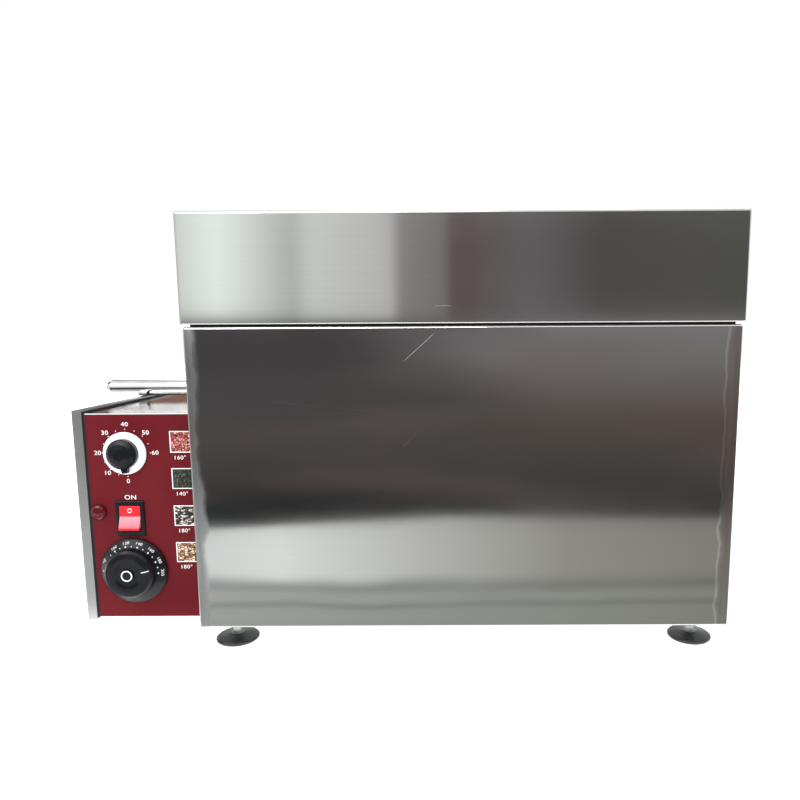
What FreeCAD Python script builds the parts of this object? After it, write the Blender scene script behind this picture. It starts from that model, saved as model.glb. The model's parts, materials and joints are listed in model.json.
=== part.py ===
import FreeCAD, Part
import math
import os
from collections import namedtuple

import Sketcher

Vector = FreeCAD.Vector
Rotation = FreeCAD.Rotation
Circle = namedtuple("Circle", "x y radius")

# Cutting shapes, and shapes that join a face, reach this far past it
PAST = 1.0
# Lengths under this count as nothing
SLIGHT = 0.01

# A table-top chestnut roaster: a stainless casing with a deep hinged lid over a lift-out drum,
# and a control box with the drive on its left.
#
# Every piece is drawn in the casing's frame: X = 0 at the casing's middle, Y = 0 at its front
# face and growing to the back, Z = 0 at its underside. The placements then carry it to the
# part's origin, which is on the floor in the middle of the whole outline.

# Driving dimensions, in millimetres and degrees
SIZES = (
    ("casing_width", 460, "outer casing, left to right"),
    ("casing_depth", 310, "outer casing, front to back"),
    ("casing_height", 260, "outer casing, underside to rim"),
    ("casing_sheet", 1.2, "stainless sheet of casing, lid and control box"),
    ("bend_radius", 2.5, "outside bends of casing and lid"),
    ("return_flange", 12, "inward flange under the casing"),
    ("rim_radius", 2, "casing's top edge, rounded over"),
    ("rim_bevel", 0.8, "lid's lower edge, broken"),
    ("hole_room", 0.5, "clearance holes, radial"),
    ("edge_bevel", 1, "bevels on the ends of shafts, studs and spindles"),
    ("insulation", 18, "wool between casing and chamber"),
    ("liner_sheet", 1.0, "stainless sheet of the chamber and the shaft notches"),
    ("chamber_floor", 25, "upper face of the chamber floor"),
    ("lid_gap", 2, "gasket between rim and lid"),
    ("lid_height", 90, "lid shell, edge to top"),
    ("lid_overhang", 1.5, "lid beyond the casing, each side"),
    ("lid_wool", 16, "wool over the lid liner"),
    ("gasket_inset", 5, "gasket behind the lid edge"),
    ("gasket_width", 12, "gasket strip"),
    ("foot_height", 19, "floor to casing underside"),
    ("foot_side", 204, "feet from the casing's middle"),
    ("foot_inset", 22, "feet from the front and back faces"),
    ("foot_radius", 18.8, "moulded foot pad"),
    ("foot_rim", 2.4, "upright rim of the foot"),
    ("dome_start", 3.2, "foot's dome above the floor, at the rim"),
    ("dome_end", 5.2, "foot's dome above the floor, at the neck"),
    ("neck_height", 5.8, "top of the foot's neck above the floor"),
    ("neck_radius", 5.2, "foot's neck at its top"),
    ("neck_flare", 1.5, "foot's neck, wider at its root"),
    ("stud_radius", 4, "M8 foot stud"),
    ("stud_rise", 14, "foot stud above the casing underside"),
    ("stud_room", 6, "wool cut away over each stud"),
    ("stud_play", 0.08, "stud in its nuts, radial"),
    ("lock_nut_flats", 13, "hexagon nuts of the feet, across flats"),
    ("lock_nut_height", 4, "hexagon nuts of the feet"),
    ("bush_radius", 6.5, "weld bush over each foot"),
    ("bush_height", 12, "weld bush over each foot"),
    ("axis_height", 197.5, "drum axis above the casing underside"),
    ("notch_width", 24, "shaft notches in the end walls"),
    ("saddle_drop", 17, "notch bottom below the shaft axis"),
    ("saddle_rise", 6, "saddle cheeks above the shaft axis"),
    ("saddle_length", 13, "bearing saddle along the shaft"),
    ("saddle_inset", 4, "saddle behind the casing's outer face"),
    ("saddle_bevel", 1.5, "lead-in of the saddle's mouth"),
    ("shaft_radius", 8, "drum shaft in its saddles"),
    ("shaft_play", 0.08, "shaft in its saddles, radial"),
    ("rod_reach", 141, "lifting rod beyond the left wall"),
    ("rod_root_radius", 7.0, "lifting rod at the wall"),
    ("rod_tip_radius", 8.4, "lifting rod at its free end"),
    ("rod_chamfer", 4, "bevel of the lifting rod's end"),
    ("journal_past", 2, "thick shaft outside the left wall"),
    ("stub_reach", 45, "shaft stub beyond the right wall"),
    ("collar_radius", 14, "thrust collars on the shaft"),
    ("collar_width", 5, "thrust collars on the shaft"),
    ("collar_play", 1, "collar to chamber wall"),
    ("hub_radius", 30, "shaft flanges on the drum ends"),
    ("hub_sheet", 4, "shaft flanges on the drum ends"),
    ("drum_radius", 122, "outside of the drum"),
    ("drum_sheet", 1.0, "drum wall"),
    ("drum_left", 190, "drum's left end from the casing's middle"),
    ("drum_right", 200, "drum's right end from the casing's middle"),
    ("end_recess", 1, "end plates inside the drum's ends"),
    ("end_sheet", 1.2, "end plates"),
    ("end_rim", 12, "end plates' rim, turned outwards along the drum"),
    ("rim_bend", 2, "bend of the end plates' rim"),
    ("vent_radius", 4, "steam holes in the end plates"),
    ("vent_circle", 96, "steam holes from the axis"),
    ("vent_count", 8, "steam holes in each end plate"),
    ("flight_height", 22, "mixing flights inside the drum"),
    ("flight_sheet", 1.5, "mixing flights"),
    ("flight_twist", 12, "mixing flights, twist each way"),
    ("flight_spacing", 80, "angle from one mixing flight to the next"),
    ("flight_gap", 2, "mixing flights to the end plates"),
    ("hatch_left", 130, "hatch opening left of the middle"),
    ("hatch_right", 140, "hatch opening right of the middle"),
    ("hatch_angle", 30, "half angle of the hatch opening"),
    ("door_overlap", 6, "door beyond the opening at its ends"),
    ("door_angle", 34, "half angle of the hatch door"),
    ("door_lift", 0.5, "door above the drum"),
    ("door_sheet", 1.2, "hatch door"),
    ("door_travel", 62, "turn of the door when it opens"),
    ("grip_height", 7, "turned-up grip of the door"),
    ("grip_angle", 0.8, "thickness of the grip as an angle"),
    ("grip_room", 4, "grip to the rails' lips"),
    ("rail_height", 4.6, "door rails above the drum"),
    ("rail_lip", 6, "rail over the door's edge"),
    ("rail_sheet", 1.6, "rails"),
    ("rail_room", 0.6, "door's ends to the rails"),
    ("rail_slack", 1.2, "rails' stops beyond the door's travel, as an angle"),
    ("stop_angle", 1.2, "thickness of the rails' stops as an angle"),
    ("gear_module", 3, "module of ring gear and pinion"),
    ("ring_teeth", 48, "teeth of the drum's ring gear"),
    ("pinion_teeth", 16, "teeth of the motor's pinion"),
    ("pressure_angle", 20, "gear pressure angle"),
    ("gear_backlash", 0.5, "play between teeth, along the pitch circle"),
    ("root_depth", 1.25, "gear root below the pitch circle, in modules"),
    ("root_step", 0.3, "least straight flank between root and involute"),
    ("ring_width", 8, "ring gear"),
    ("ring_bore", 52, "inner radius of the ring gear"),
    ("ring_offset", 18, "ring gear to the left end plate"),
    ("pinion_width", 10, "pinion"),
    ("spacer_circle", 60, "ring gear spacers from the axis"),
    ("spacer_radius", 5, "ring gear spacers"),
    ("spacer_count", 4, "ring gear spacers"),
    ("drive_radius", 6, "motor shaft"),
    ("drive_play", 0.05, "motor shaft in its bushes, radial"),
    ("drive_grip", 26, "motor shaft inside the gearbox"),
    ("drive_past", 1.5, "motor shaft beyond the ring gear"),
    ("sleeve_radius", 11, "drive sleeve through the wall"),
    ("sleeve_flange", 17, "flange of the drive sleeve"),
    ("sleeve_sheet", 3, "flange of the drive sleeve"),
    ("sleeve_past", 1, "drive sleeve inside the chamber wall"),
    ("gearbox_side", 80, "square gearbox"),
    ("gearbox_length", 30, "gearbox along the shaft"),
    ("gearbox_gap", 12, "gearbox to casing wall"),
    ("gearbox_corner", 8, "round corners of the gearbox"),
    ("gearbox_bevel", 2, "bevel of the gearbox's face"),
    ("gearbox_wall", 3, "gearbox behind the shaft's end"),
    ("boss_radius", 14, "bearing boss on the gearbox"),
    ("boss_height", 6, "bearing boss on the gearbox"),
    ("post_offset", 32, "gearbox posts from the shaft"),
    ("post_radius", 5, "gearbox posts"),
    ("motor_radius", 36, "drive motor"),
    ("motor_length", 54, "drive motor"),
    ("motor_step", 4, "motor's neck and end bevel"),
    ("motor_cap", 12, "bearing cap at the motor's end"),
    ("heater_radius", 4, "sheathed heater tubes"),
    ("heater_height", 52, "heater tubes above the casing underside"),
    ("heater_bend", 35, "half distance between a heater's legs"),
    ("heater_offset", 65, "heater loops from the drum's plane"),
    ("heater_end", 32, "heater ends outside the casing wall"),
    ("heater_right", 150, "where the heater loops start"),
    ("heater_hole", 7, "heater holes in the wall"),
    ("terminal_flats", 16.8, "heater nuts, across flats"),
    ("terminal_height", 5, "heater nuts"),
    ("bead_radius", 5.5, "ceramic beads on the heater ends"),
    ("bead_length", 9, "ceramic beads on the heater ends"),
    ("pin_radius", 1.8, "heater terminal pins"),
    ("pin_length", 11, "heater terminal pins"),
    ("cradle_place", 100, "heater cradle from the middle"),
    ("cradle_margin", 14, "heater cradle beyond the outer heater legs"),
    ("cradle_sheet", 1.5, "heater cradle"),
    ("cradle_foot", 12, "heater cradle's foot"),
    ("bulb_height", 47, "sensor bulb above the casing underside"),
    ("bulb_radius", 3, "sensor bulb"),
    ("bulb_length", 70, "sensor bulb"),
    ("bulb_lead", 20, "sensor bulb to the left of the cradle"),
    ("capillary_radius", 1, "thermostat capillary"),
    ("control_width", 110.5, "control box, left of the casing"),
    ("control_front", 24, "control box behind the casing front"),
    ("control_back", 286, "back of the control box"),
    ("control_bottom", -2, "underside of the control box"),
    ("control_top", 188.7, "top of the control box's side cover"),
    ("cover_flange", 9, "flanges of the side cover"),
    ("cover_bend", 1.2, "outside bend of the side cover"),
    ("panel_bend", 1.0, "outside bend of the panels"),
    ("frame_step", 0.8, "frame behind the side cover's flange"),
    ("panel_gap", 2, "gap between side cover and panels"),
    ("panel_step", 1.5, "panels behind the side cover's flanges"),
    ("panel_top", 186, "upper face of the front panel's return"),
    ("panel_return", 54, "front panel's return along the top"),
    ("panel_lip", 12, "small returns of the panels"),
    ("slot_width", 4, "cooling slots"),
    ("slot_side", -280, "middle of the cooling slots"),
    ("floor_slot_count", 5, "cooling slots in the bottom plate"),
    ("floor_slot_length", 40, "cooling slots in the bottom plate"),
    ("floor_slot_pitch", 12, "cooling slots in the bottom plate"),
    ("floor_slot_start", 120, "first slot of the bottom plate from the casing's front"),
    ("back_slot_count", 6, "cooling slots in the back cover"),
    ("back_slot_length", 60, "cooling slots in the back cover"),
    ("back_slot_pitch", 10, "cooling slots in the back cover"),
    ("back_slot_start", 100, "first slot of the back cover above the casing underside"),
    ("screw_radius", 3.6, "heads of the cover screws"),
    ("screw_head", 2.2, "heads of the cover screws"),
    ("screw_inset", 20, "cover screws from the cover's edges"),
    ("timer_side", -295.9, "timer axis from the casing's middle"),
    ("timer_height", 151, "timer axis"),
    ("skirt_radius", 18.8, "white skirt of the timer knob"),
    ("knob_radius", 13.2, "timer knob"),
    ("knob_height", 13.6, "timer knob in front of the panel"),
    ("switch_side", -295.3, "middle of the rocker switch"),
    ("switch_height", 92, "middle of the rocker switch"),
    ("bezel_width", 25.5, "switch bezel"),
    ("bezel_height", 32.2, "switch bezel"),
    ("bezel_sheet", 2, "switch bezel in front of the panel"),
    ("rocker_width", 18.2, "rocker"),
    ("rocker_radius", 11.7, "round back of the rocker"),
    ("rocker_play", 0.3, "rocker in its well"),
    ("rocker_tilt", 13, "rocker from level to either side"),
    ("rocker_pivot", 0.5, "rocker's pivot behind the panel's face"),
    ("rocker_edge", 4.5, "rocker's raised edges in front of its pivot"),
    ("rocker_valley", 2.6, "rocker's hollow in front of its pivot"),
    ("rocker_face", 10.8, "half height of the rocker's face"),
    ("rocker_pin", 1.5, "pivot pins of the rocker"),
    ("rocker_pin_reach", 1.1, "pivot pins beyond the rocker's sides"),
    ("well_wall", 1.5, "walls of the switch housing"),
    ("well_half", 13.8, "half height of the switch housing"),
    ("well_depth", 22, "switch housing behind the panel"),
    ("blade_length", 8, "switch terminals"),
    ("lamp_side", -323, "indicator lamp"),
    ("lamp_height", 97.9, "indicator lamp"),
    ("lamp_radius", 6.75, "indicator lamp lens"),
    ("lamp_hole", 5, "hole for the lamp holder"),
    ("dial_side", -294.7, "thermostat axis from the casing's middle"),
    ("dial_height", 44.4, "thermostat axis"),
    ("dial_radius", 29.6, "thermostat dial skirt"),
    ("hub_base_radius", 22.6, "thermostat grip at the skirt"),
    ("hub_face_radius", 19.5, "thermostat grip at its face"),
    ("dial_depth", 16, "thermostat dial in front of the panel"),
    ("spindle_radius", 3, "timer and thermostat spindles"),
    ("spindle_play", 0.08, "spindles in their bodies, radial"),
    ("spindle_room", 1, "spindle holes in the panel, radial"),
    ("spindle_flat", 1.8, "flats of the spindles from their axes"),
    ("timer_grip", 10, "timer spindle in front of the panel"),
    ("timer_root", 20, "timer spindle behind the panel's face"),
    ("timer_body_width", 44, "timer body"),
    ("timer_body_height", 48, "timer body"),
    ("timer_body_depth", 34, "timer body"),
    ("dial_grip", 9, "thermostat spindle in front of the panel"),
    ("dial_root", 12, "thermostat spindle behind the panel's face"),
    ("thermostat_width", 40, "thermostat body"),
    ("thermostat_height", 34, "thermostat body"),
    ("thermostat_depth", 16, "thermostat body"),
    ("cup_radius", 16, "round cup behind the thermostat body"),
    ("cup_depth", 10, "round cup behind the thermostat body"),
    ("body_corner", 3, "round corners of the timer body"),
    ("bore_end", 2, "spindle bores beyond the spindles"),
    ("knob_room", 0.4, "knobs in front of the panel"),
    ("hinge_side", 140, "hinges from the casing's middle"),
    ("hinge_width", 60, "hinges"),
    ("hinge_sheet", 1.5, "hinge leaves"),
    ("knuckle_radius", 3.5, "hinge knuckles"),
    ("hinge_pin_radius", 2, "hinge pins"),
    ("leaf_start", 5, "leaves from the hinge axis"),
    ("body_leaf_reach", 38, "lower leaves below the hinge axis"),
    ("lid_leaf_reach", 36, "upper leaves above the hinge axis"),
    ("knuckle_length", 18, "outer knuckles"),
    ("knuckle_gap", 0.5, "between knuckles"),
    ("hinge_play", 0.05, "pins in the lid's knuckles, radial"),
    ("hinge_back", 5.2, "hinge axis behind the casing"),
    ("hinge_rise", 1, "hinge axis above the rim"),
    ("cord_radius", 3.6, "bore of the cable gland"),
    ("gland_inset", 30, "cable gland left of the casing wall"),
    ("gland_height", 40, "cable gland above the casing underside"),
    ("gland_thread", 8, "thread of the cable gland"),
    ("gland_flange", 11, "flange of the cable gland"),
    ("gland_cap", 9, "cap of the cable gland"),
    ("gland_flats", 20, "nut of the cable gland, across flats"),
)


class Size:
    """A number that carries the sheet expression that gives it."""

    def __init__(self, value, text):
        self.value = value
        self.text = text

    def join(self, sign, other, result):
        return Size(result, f"({self.text} {sign} {as_size(other).text})")

    def __add__(self, other):
        return self.join("+", other, self.value + number(other))

    def __sub__(self, other):
        return self.join("-", other, self.value - number(other))

    def __mul__(self, other):
        return self.join("*", other, self.value * number(other))

    def __truediv__(self, other):
        return self.join("/", other, self.value / number(other))

    def __radd__(self, other):
        return as_size(other) + self

    def __rsub__(self, other):
        return as_size(other) - self

    def __rmul__(self, other):
        return as_size(other) * self

    def __neg__(self):
        return Size(-self.value, f"(-{self.text})")


def as_size(value):
    if isinstance(value, Size):
        return value
    return Size(float(value), f"({float(value)})")


def number(value):
    return value.value if isinstance(value, Size) else float(value)


def bind(thing, property_name, value):
    """Tie a property, or a part of one, to the sheet."""
    thing.setExpression(property_name, as_size(value).text)


class Dimensions:
    """The sheet's cells by name."""


def fill_sheet():
    sheet = doc.addObject("Spreadsheet::Sheet", "sheet")
    sizes = Dimensions()
    for row, (name, value, meaning) in enumerate(SIZES, start=1):
        sheet.set(f"A{row}", str(value))
        sheet.setAlias(f"A{row}", name)
        sheet.set(f"B{row}", meaning)
        setattr(sizes, name, Size(float(value), "sheet." + name))
    doc.recompute()
    return sizes


doc = FreeCAD.newDocument("chestnut_roaster")
d = fill_sheet()
subparts = []

# Planes and places that several pieces share
half_width = d.casing_width / 2
wall_inside = half_width - d.casing_sheet
liner_outside = wall_inside - d.insulation
liner_inside = liner_outside - d.liner_sheet
wall_depth = d.casing_sheet + d.insulation + d.liner_sheet
casing_back_inside = d.casing_depth - d.casing_sheet
base_top = 2 * d.casing_sheet
rim_underside = d.casing_height - d.casing_sheet
lid_bottom = d.casing_height + d.lid_gap
lid_top = lid_bottom + d.lid_height
lid_half = half_width + d.lid_overhang
lid_back = d.casing_depth + d.lid_overhang
drum_plane = d.casing_depth / 2
notch_bottom = d.axis_height - d.saddle_drop - d.liner_sheet
gear_distance = d.gear_module * (d.ring_teeth + d.pinion_teeth) / 2
pinion_height = d.axis_height - gear_distance
drum_bore = d.drum_radius - d.drum_sheet
end_left = d.end_recess + d.end_rim - d.drum_left
end_right = d.drum_right - d.end_recess - d.end_rim
control_left = -half_width - d.control_width
panel_left = control_left + d.cover_flange + d.panel_gap
panel_face = d.control_front + d.panel_step
panel_back_face = d.control_back - d.panel_step
gland_side = -half_width - d.gland_inset
hinge_y = d.casing_depth + d.hinge_back
hinge_z = d.casing_height + d.hinge_rise
back_reach = hinge_y + d.knuckle_radius

# From the casing's frame to the part's own origin
shift_x = (d.rod_reach - d.stub_reach) / 2
shift_y = (d.lid_overhang - back_reach) / 2
shift_z = d.foot_height


def place(thing, x=0, y=0, z=0, turn=None):
    """Put a sub-part's local origin at a point of the casing's frame."""
    if turn is not None:
        thing.Placement = FreeCAD.Placement(Vector(), turn)
    bind(thing, "Placement.Base.x", shift_x + x)
    bind(thing, "Placement.Base.y", shift_y + y)
    bind(thing, "Placement.Base.z", shift_z + z)


def box(x0, y0, x1, y1):
    """The corners of a rectangle, for a sketch."""
    return [(x0, y0), (x1, y0), (x1, y1), (x0, y1)]


def constrain(sketch, kind, elements, value):
    index = sketch.addConstraint(Sketcher.Constraint(kind, *elements, number(value)))
    bind(sketch, f"Constraints[{index}]", value)


def add_circle(sketch, circle):
    centre = Vector(number(circle.x), number(circle.y), 0)
    ring = sketch.addGeometry(Part.Circle(centre, Vector(0, 0, 1), number(circle.radius)), False)
    constrain(sketch, "Radius", (ring,), circle.radius)
    constrain(sketch, "DistanceX", (-1, 1, ring, 3), circle.x)
    constrain(sketch, "DistanceY", (-1, 1, ring, 3), circle.y)


def add_polygon(sketch, corners):
    points = [Vector(number(x), number(y), 0) for x, y in corners]
    lines = []
    for start, end in zip(points, points[1:] + points[:1]):
        lines.append(sketch.addGeometry(Part.LineSegment(start, end), False))
    for line, following in zip(lines, lines[1:] + lines[:1]):
        sketch.addConstraint(Sketcher.Constraint("Coincident", line, 2, following, 1))
    for line, (x, y) in zip(lines, corners):
        constrain(sketch, "DistanceX", (-1, 1, line, 1), x)
        constrain(sketch, "DistanceY", (-1, 1, line, 1), y)


class Solid:
    """A PartDesign body whose features lie along the axes of the casing's frame."""

    # The XZ plane's normal points to -Y, the other two along their axes
    NORMALS = {"XY": 1, "XZ": -1, "YZ": 1}

    def __init__(self, label, x=0, y=0, z=0):
        self.body = doc.addObject("PartDesign::Body", label)
        self.body.Label = label
        self.body.AllowCompound = True
        self.origin = {feature.Role: feature for feature in self.body.Origin.OriginFeatures}
        place(self.body, x, y, z)
        subparts.append(self.body)

    def add(self, kind):
        return self.body.newObject(kind, f"{self.body.Label}_{kind.split('::')[1]}")

    def sketch(self, plane, offset, loops):
        sketch = self.add("Sketcher::SketchObject")
        sketch.AttachmentSupport = [(self.origin[plane + "_Plane"], "")]
        sketch.MapMode = "FlatFace"
        bind(sketch, "AttachmentOffset.Base.z", self.NORMALS[plane] * as_size(offset))
        for loop in loops:
            if isinstance(loop, Circle):
                add_circle(sketch, loop)
            else:
                add_polygon(sketch, loop)
        return sketch

    def prism(self, kind, plane, loops, start, end, reversed_way):
        feature = self.add(kind)
        feature.Profile = self.sketch(plane, start, loops)
        bind(feature, "Length", end - as_size(start))
        feature.Reversed = reversed_way
        doc.recompute()
        return feature

    def pad(self, plane, loops, start, end):
        """Add the loops' area from start to end along the plane's own axis."""
        return self.prism("PartDesign::Pad", plane, loops, start, end, self.NORMALS[plane] < 0)

    def pocket(self, plane, loops, start, end):
        """Cut the loops' area away from start to end along the plane's own axis."""
        before = self.body.Shape.Volume
        way = self.NORMALS[plane] > 0
        feature = self.prism("PartDesign::Pocket", plane, loops, start, end, way)
        if self.body.Shape.Volume > before - SLIGHT:
            raise ValueError(f"a pocket of {self.body.Label} cuts nothing")
        return feature

    def revolve(self, plane, corners, axis):
        feature = self.add("PartDesign::Revolution")
        feature.Profile = self.sketch(plane, 0, [corners])
        feature.ReferenceAxis = (self.origin[axis + "_Axis"], [""])
        feature.Angle = 360
        doc.recompute()
        return feature

    def polar(self, feature, axis, count):
        pattern = self.add("PartDesign::PolarPattern")
        pattern.Originals = [feature]
        pattern.Axis = (self.origin[axis + "_Axis"], [""])
        pattern.Angle = 360
        bind(pattern, "Occurrences", count)
        self.body.Tip = pattern
        doc.recompute()

    def edges(self, wanted):
        """Names of the tip's edges whose bounding box passes the test."""
        shape = self.body.Tip.Shape
        return [f"Edge{i}" for i, edge in enumerate(shape.Edges, start=1) if wanted(edge.BoundBox)]

    def blend(self, kind, size_name, size, wanted):
        base = self.body.Tip
        names = self.edges(wanted)
        feature = self.add(kind)
        feature.Base = (base, names)
        bind(feature, size_name, size)
        doc.recompute()
        return feature

    def fillet(self, radius, wanted):
        return self.blend("PartDesign::Fillet", "Radius", radius, wanted)

    def chamfer(self, size, wanted):
        return self.blend("PartDesign::Chamfer", "Size", size, wanted)


def near(value, target):
    return abs(value - number(target)) < SLIGHT


def upright(limits):
    """An edge along Z."""
    return limits.ZLength > SLIGHT and limits.XLength < SLIGHT and limits.YLength < SLIGHT


def along_x(limits):
    return limits.XLength > SLIGHT and limits.YLength < SLIGHT and limits.ZLength < SLIGHT


def along_y(limits):
    return limits.YLength > SLIGHT and limits.XLength < SLIGHT and limits.ZLength < SLIGHT


def part_feature(label, shape, x=0, y=0, z=0):
    """A sub-part made with Part's own functions, at a point of the casing's frame."""
    feature = doc.addObject("Part::Feature", label)
    feature.Label = label
    feature.Shape = shape
    place(feature, x, y, z)
    subparts.append(feature)
    return feature


def hexagon(x, y, flats):
    """Corners of a hexagon with two flats across Y."""
    half_flat = flats / 2
    corner = flats * (1 / math.sqrt(3))
    return [
        (x + corner, y),
        (x + corner / 2, y + half_flat),
        (x - corner / 2, y + half_flat),
        (x - corner, y),
        (x - corner / 2, y - half_flat),
        (x + corner / 2, y - half_flat),
    ]


# Holes that pass through several layers of the casing
heater_legs = [
    drum_plane + side * d.heater_offset + leg * d.heater_bend for side in (-1, 1) for leg in (-1, 1)
]
foot_places = [
    (side * d.foot_side, y) for y in (d.foot_inset, d.casing_depth - d.foot_inset) for side in (-1, 1)
]


def cut_notches(solid):
    """Open both end walls from the rim down to the shaft saddles."""
    slot = box(
        drum_plane - d.notch_width / 2,
        notch_bottom,
        drum_plane + d.notch_width / 2,
        d.casing_height + d.casing_sheet,
    )
    solid.pocket("YZ", [slot], -half_width - d.casing_sheet, half_width + d.casing_sheet)


def cut_drive_holes(solid):
    """Cut the holes for the motor shaft and the heater legs in the left wall."""
    holes = [Circle(drum_plane, pinion_height, d.sleeve_radius)]
    holes += [Circle(leg, d.heater_height, d.heater_hole) for leg in heater_legs]
    holes.append(Circle(drum_plane, d.bulb_height, d.capillary_radius + d.hole_room))
    solid.pocket("YZ", holes, -half_width - d.casing_sheet, -liner_inside + d.casing_sheet)


def cut_bush_holes(solid):
    """Cut the wool away round the weld bushes of the feet, with room over them for the studs."""
    holes = [Circle(x, y, d.bush_radius) for x, y in foot_places]
    solid.pocket("XY", holes, base_top, base_top + d.bush_height + d.stud_room)


# Casing
def make_outer_casing():
    casing = Solid("outer_casing")
    casing.pad("XY", [box(-half_width, 0, half_width, d.casing_depth)], 0, d.casing_height)
    casing.fillet(d.bend_radius, lambda limits: upright(limits) or near(limits.ZMax, 0))
    casing.fillet(d.rim_radius, lambda limits: near(limits.ZMin, d.casing_height))
    inside = box(-wall_inside, d.casing_sheet, wall_inside, casing_back_inside)
    casing.pocket("XY", [inside], d.casing_sheet, d.casing_height)
    flange = d.return_flange
    floor = box(flange - half_width, flange, half_width - flange, d.casing_depth - flange)
    casing.pocket("XY", [floor], 0, d.casing_sheet)
    cut_notches(casing)
    cut_drive_holes(casing)


def make_base_plate():
    plate = Solid("base_plate")
    outline = box(-wall_inside, d.casing_sheet, wall_inside, casing_back_inside)
    holes = [Circle(x, y, d.stud_radius + d.hole_room) for x, y in foot_places]
    plate.pad("XY", [outline] + holes, d.casing_sheet, base_top)


def make_inner_liner():
    liner = Solid("inner_liner")
    front = d.casing_sheet + d.insulation
    back = d.casing_depth - front
    floor_bottom = d.chamber_floor - d.liner_sheet
    liner.pad("XY", [box(-liner_outside, front, liner_outside, back)], floor_bottom, rim_underside)
    liner.fillet(d.bend_radius, lambda limits: near(limits.ZMax, floor_bottom))
    chamber = box(-liner_inside, wall_depth, liner_inside, d.casing_depth - wall_depth)
    liner.pocket("XY", [chamber], d.chamber_floor, rim_underside)
    cut_notches(liner)
    cut_drive_holes(liner)


def make_wall_insulation():
    wool = Solid("wall_insulation")
    outline = box(-wall_inside, d.casing_sheet, wall_inside, casing_back_inside)
    front = d.casing_sheet + d.insulation
    hollow = box(-liner_outside, front, liner_outside, d.casing_depth - front)
    wool.pad("XY", [outline, hollow], base_top, rim_underside)
    cut_bush_holes(wool)
    cut_notches(wool)
    cut_drive_holes(wool)


def make_floor_insulation():
    wool = Solid("floor_insulation")
    front = d.casing_sheet + d.insulation
    outline = box(-liner_outside, front, liner_outside, d.casing_depth - front)
    wool.pad("XY", [outline], base_top, d.chamber_floor - d.liner_sheet)
    cut_bush_holes(wool)


def make_rim_frame():
    rim = Solid("rim_frame")
    outline = box(-wall_inside, d.casing_sheet, wall_inside, casing_back_inside)
    hollow = box(-liner_inside, wall_depth, liner_inside, d.casing_depth - wall_depth)
    rim.pad("XY", [outline, hollow], rim_underside, d.casing_height)
    cut_notches(rim)


def make_notch_liners():
    """A folded channel closes the wool off at each shaft notch."""
    channel = Solid("notch_liners")
    half = d.notch_width / 2
    outline = box(drum_plane - half, notch_bottom, drum_plane + half, d.casing_height)
    channel.pad("YZ", [outline], -half_width, half_width)
    inner = half - d.liner_sheet
    hollow = box(
        drum_plane - inner,
        notch_bottom + d.liner_sheet,
        drum_plane + inner,
        d.casing_height + d.casing_sheet,
    )
    channel.pocket("YZ", [hollow], -half_width, half_width)
    middle = box(drum_plane - half, notch_bottom, drum_plane + half, d.casing_height)
    channel.pocket("YZ", [middle], -liner_inside, liner_inside)


def make_shaft_saddles():
    """Bronze saddles, open at the top so that the drum lifts out."""
    saddles = Solid("shaft_saddles", y=drum_plane, z=d.axis_height)
    half = d.notch_width / 2 - d.liner_sheet
    outer = half_width - d.saddle_inset
    inner = outer - d.saddle_length
    saddles.pad("YZ", [box(-half, -d.saddle_drop, half, d.saddle_rise)], -outer, outer)
    seat = d.shaft_radius + d.shaft_play
    saddles.pocket("YZ", [Circle(0, 0, seat)], -outer, outer)
    saddles.pocket("YZ", [box(-seat, 0, seat, d.saddle_rise)], -outer, outer)
    saddles.chamfer(d.saddle_bevel, lambda limits: along_x(limits) and near(limits.ZMin, d.saddle_rise)
                    and abs(limits.YMin) < number(seat) + SLIGHT)
    saddles.pocket("YZ", [box(-half, -d.saddle_drop, half, d.saddle_rise)], -inner, inner)


# Feet
def make_foot_bushes():
    bushes = Solid("foot_bushes")
    for x, y in foot_places:
        loops = [Circle(x, y, d.bush_radius), Circle(x, y, d.stud_radius + d.stud_play)]
        bushes.pad("XY", loops, base_top, base_top + d.bush_height)


def make_lock_nuts():
    nuts = Solid("foot_lock_nuts")
    top = d.casing_sheet
    for x, y in foot_places:
        loops = [hexagon(x, y, d.lock_nut_flats), Circle(x, y, d.stud_radius + d.stud_play)]
        nuts.pad("XY", loops, top - d.lock_nut_height, top)


def make_foot(label, x, y):
    """A levelling foot: a domed pad moulded round the head of its stud."""
    foot = Solid(label, x, y, -d.foot_height)
    stud = d.stud_radius
    stud_top = d.foot_height + d.stud_rise
    bevel = d.edge_bevel
    foot.revolve("XZ", [
        (0, 0),
        (d.foot_radius - bevel, 0),
        (d.foot_radius, bevel),
        (d.foot_radius, d.foot_rim),
        (d.foot_radius - bevel, d.dome_start),
        (d.neck_radius + d.neck_flare, d.dome_end),
        (d.neck_radius, d.neck_height),
        (stud, d.neck_height),
        (stud, stud_top - bevel),
        (stud - bevel, stud_top),
        (0, stud_top),
    ], "Z")


# Drum
def make_drum_shell():
    shell = Solid("drum_shell", y=drum_plane, z=d.axis_height)
    rings = [Circle(0, 0, d.drum_radius), Circle(0, 0, drum_bore)]
    shell.pad("YZ", rings, -d.drum_left, d.drum_right)
    half = d.drum_radius * math.sin(math.radians(number(d.hatch_angle)))
    window = box(-d.hatch_left, -half, d.hatch_right, half)
    shell.pocket("XY", [window], d.drum_radius / 2, d.drum_radius + PAST)


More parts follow.
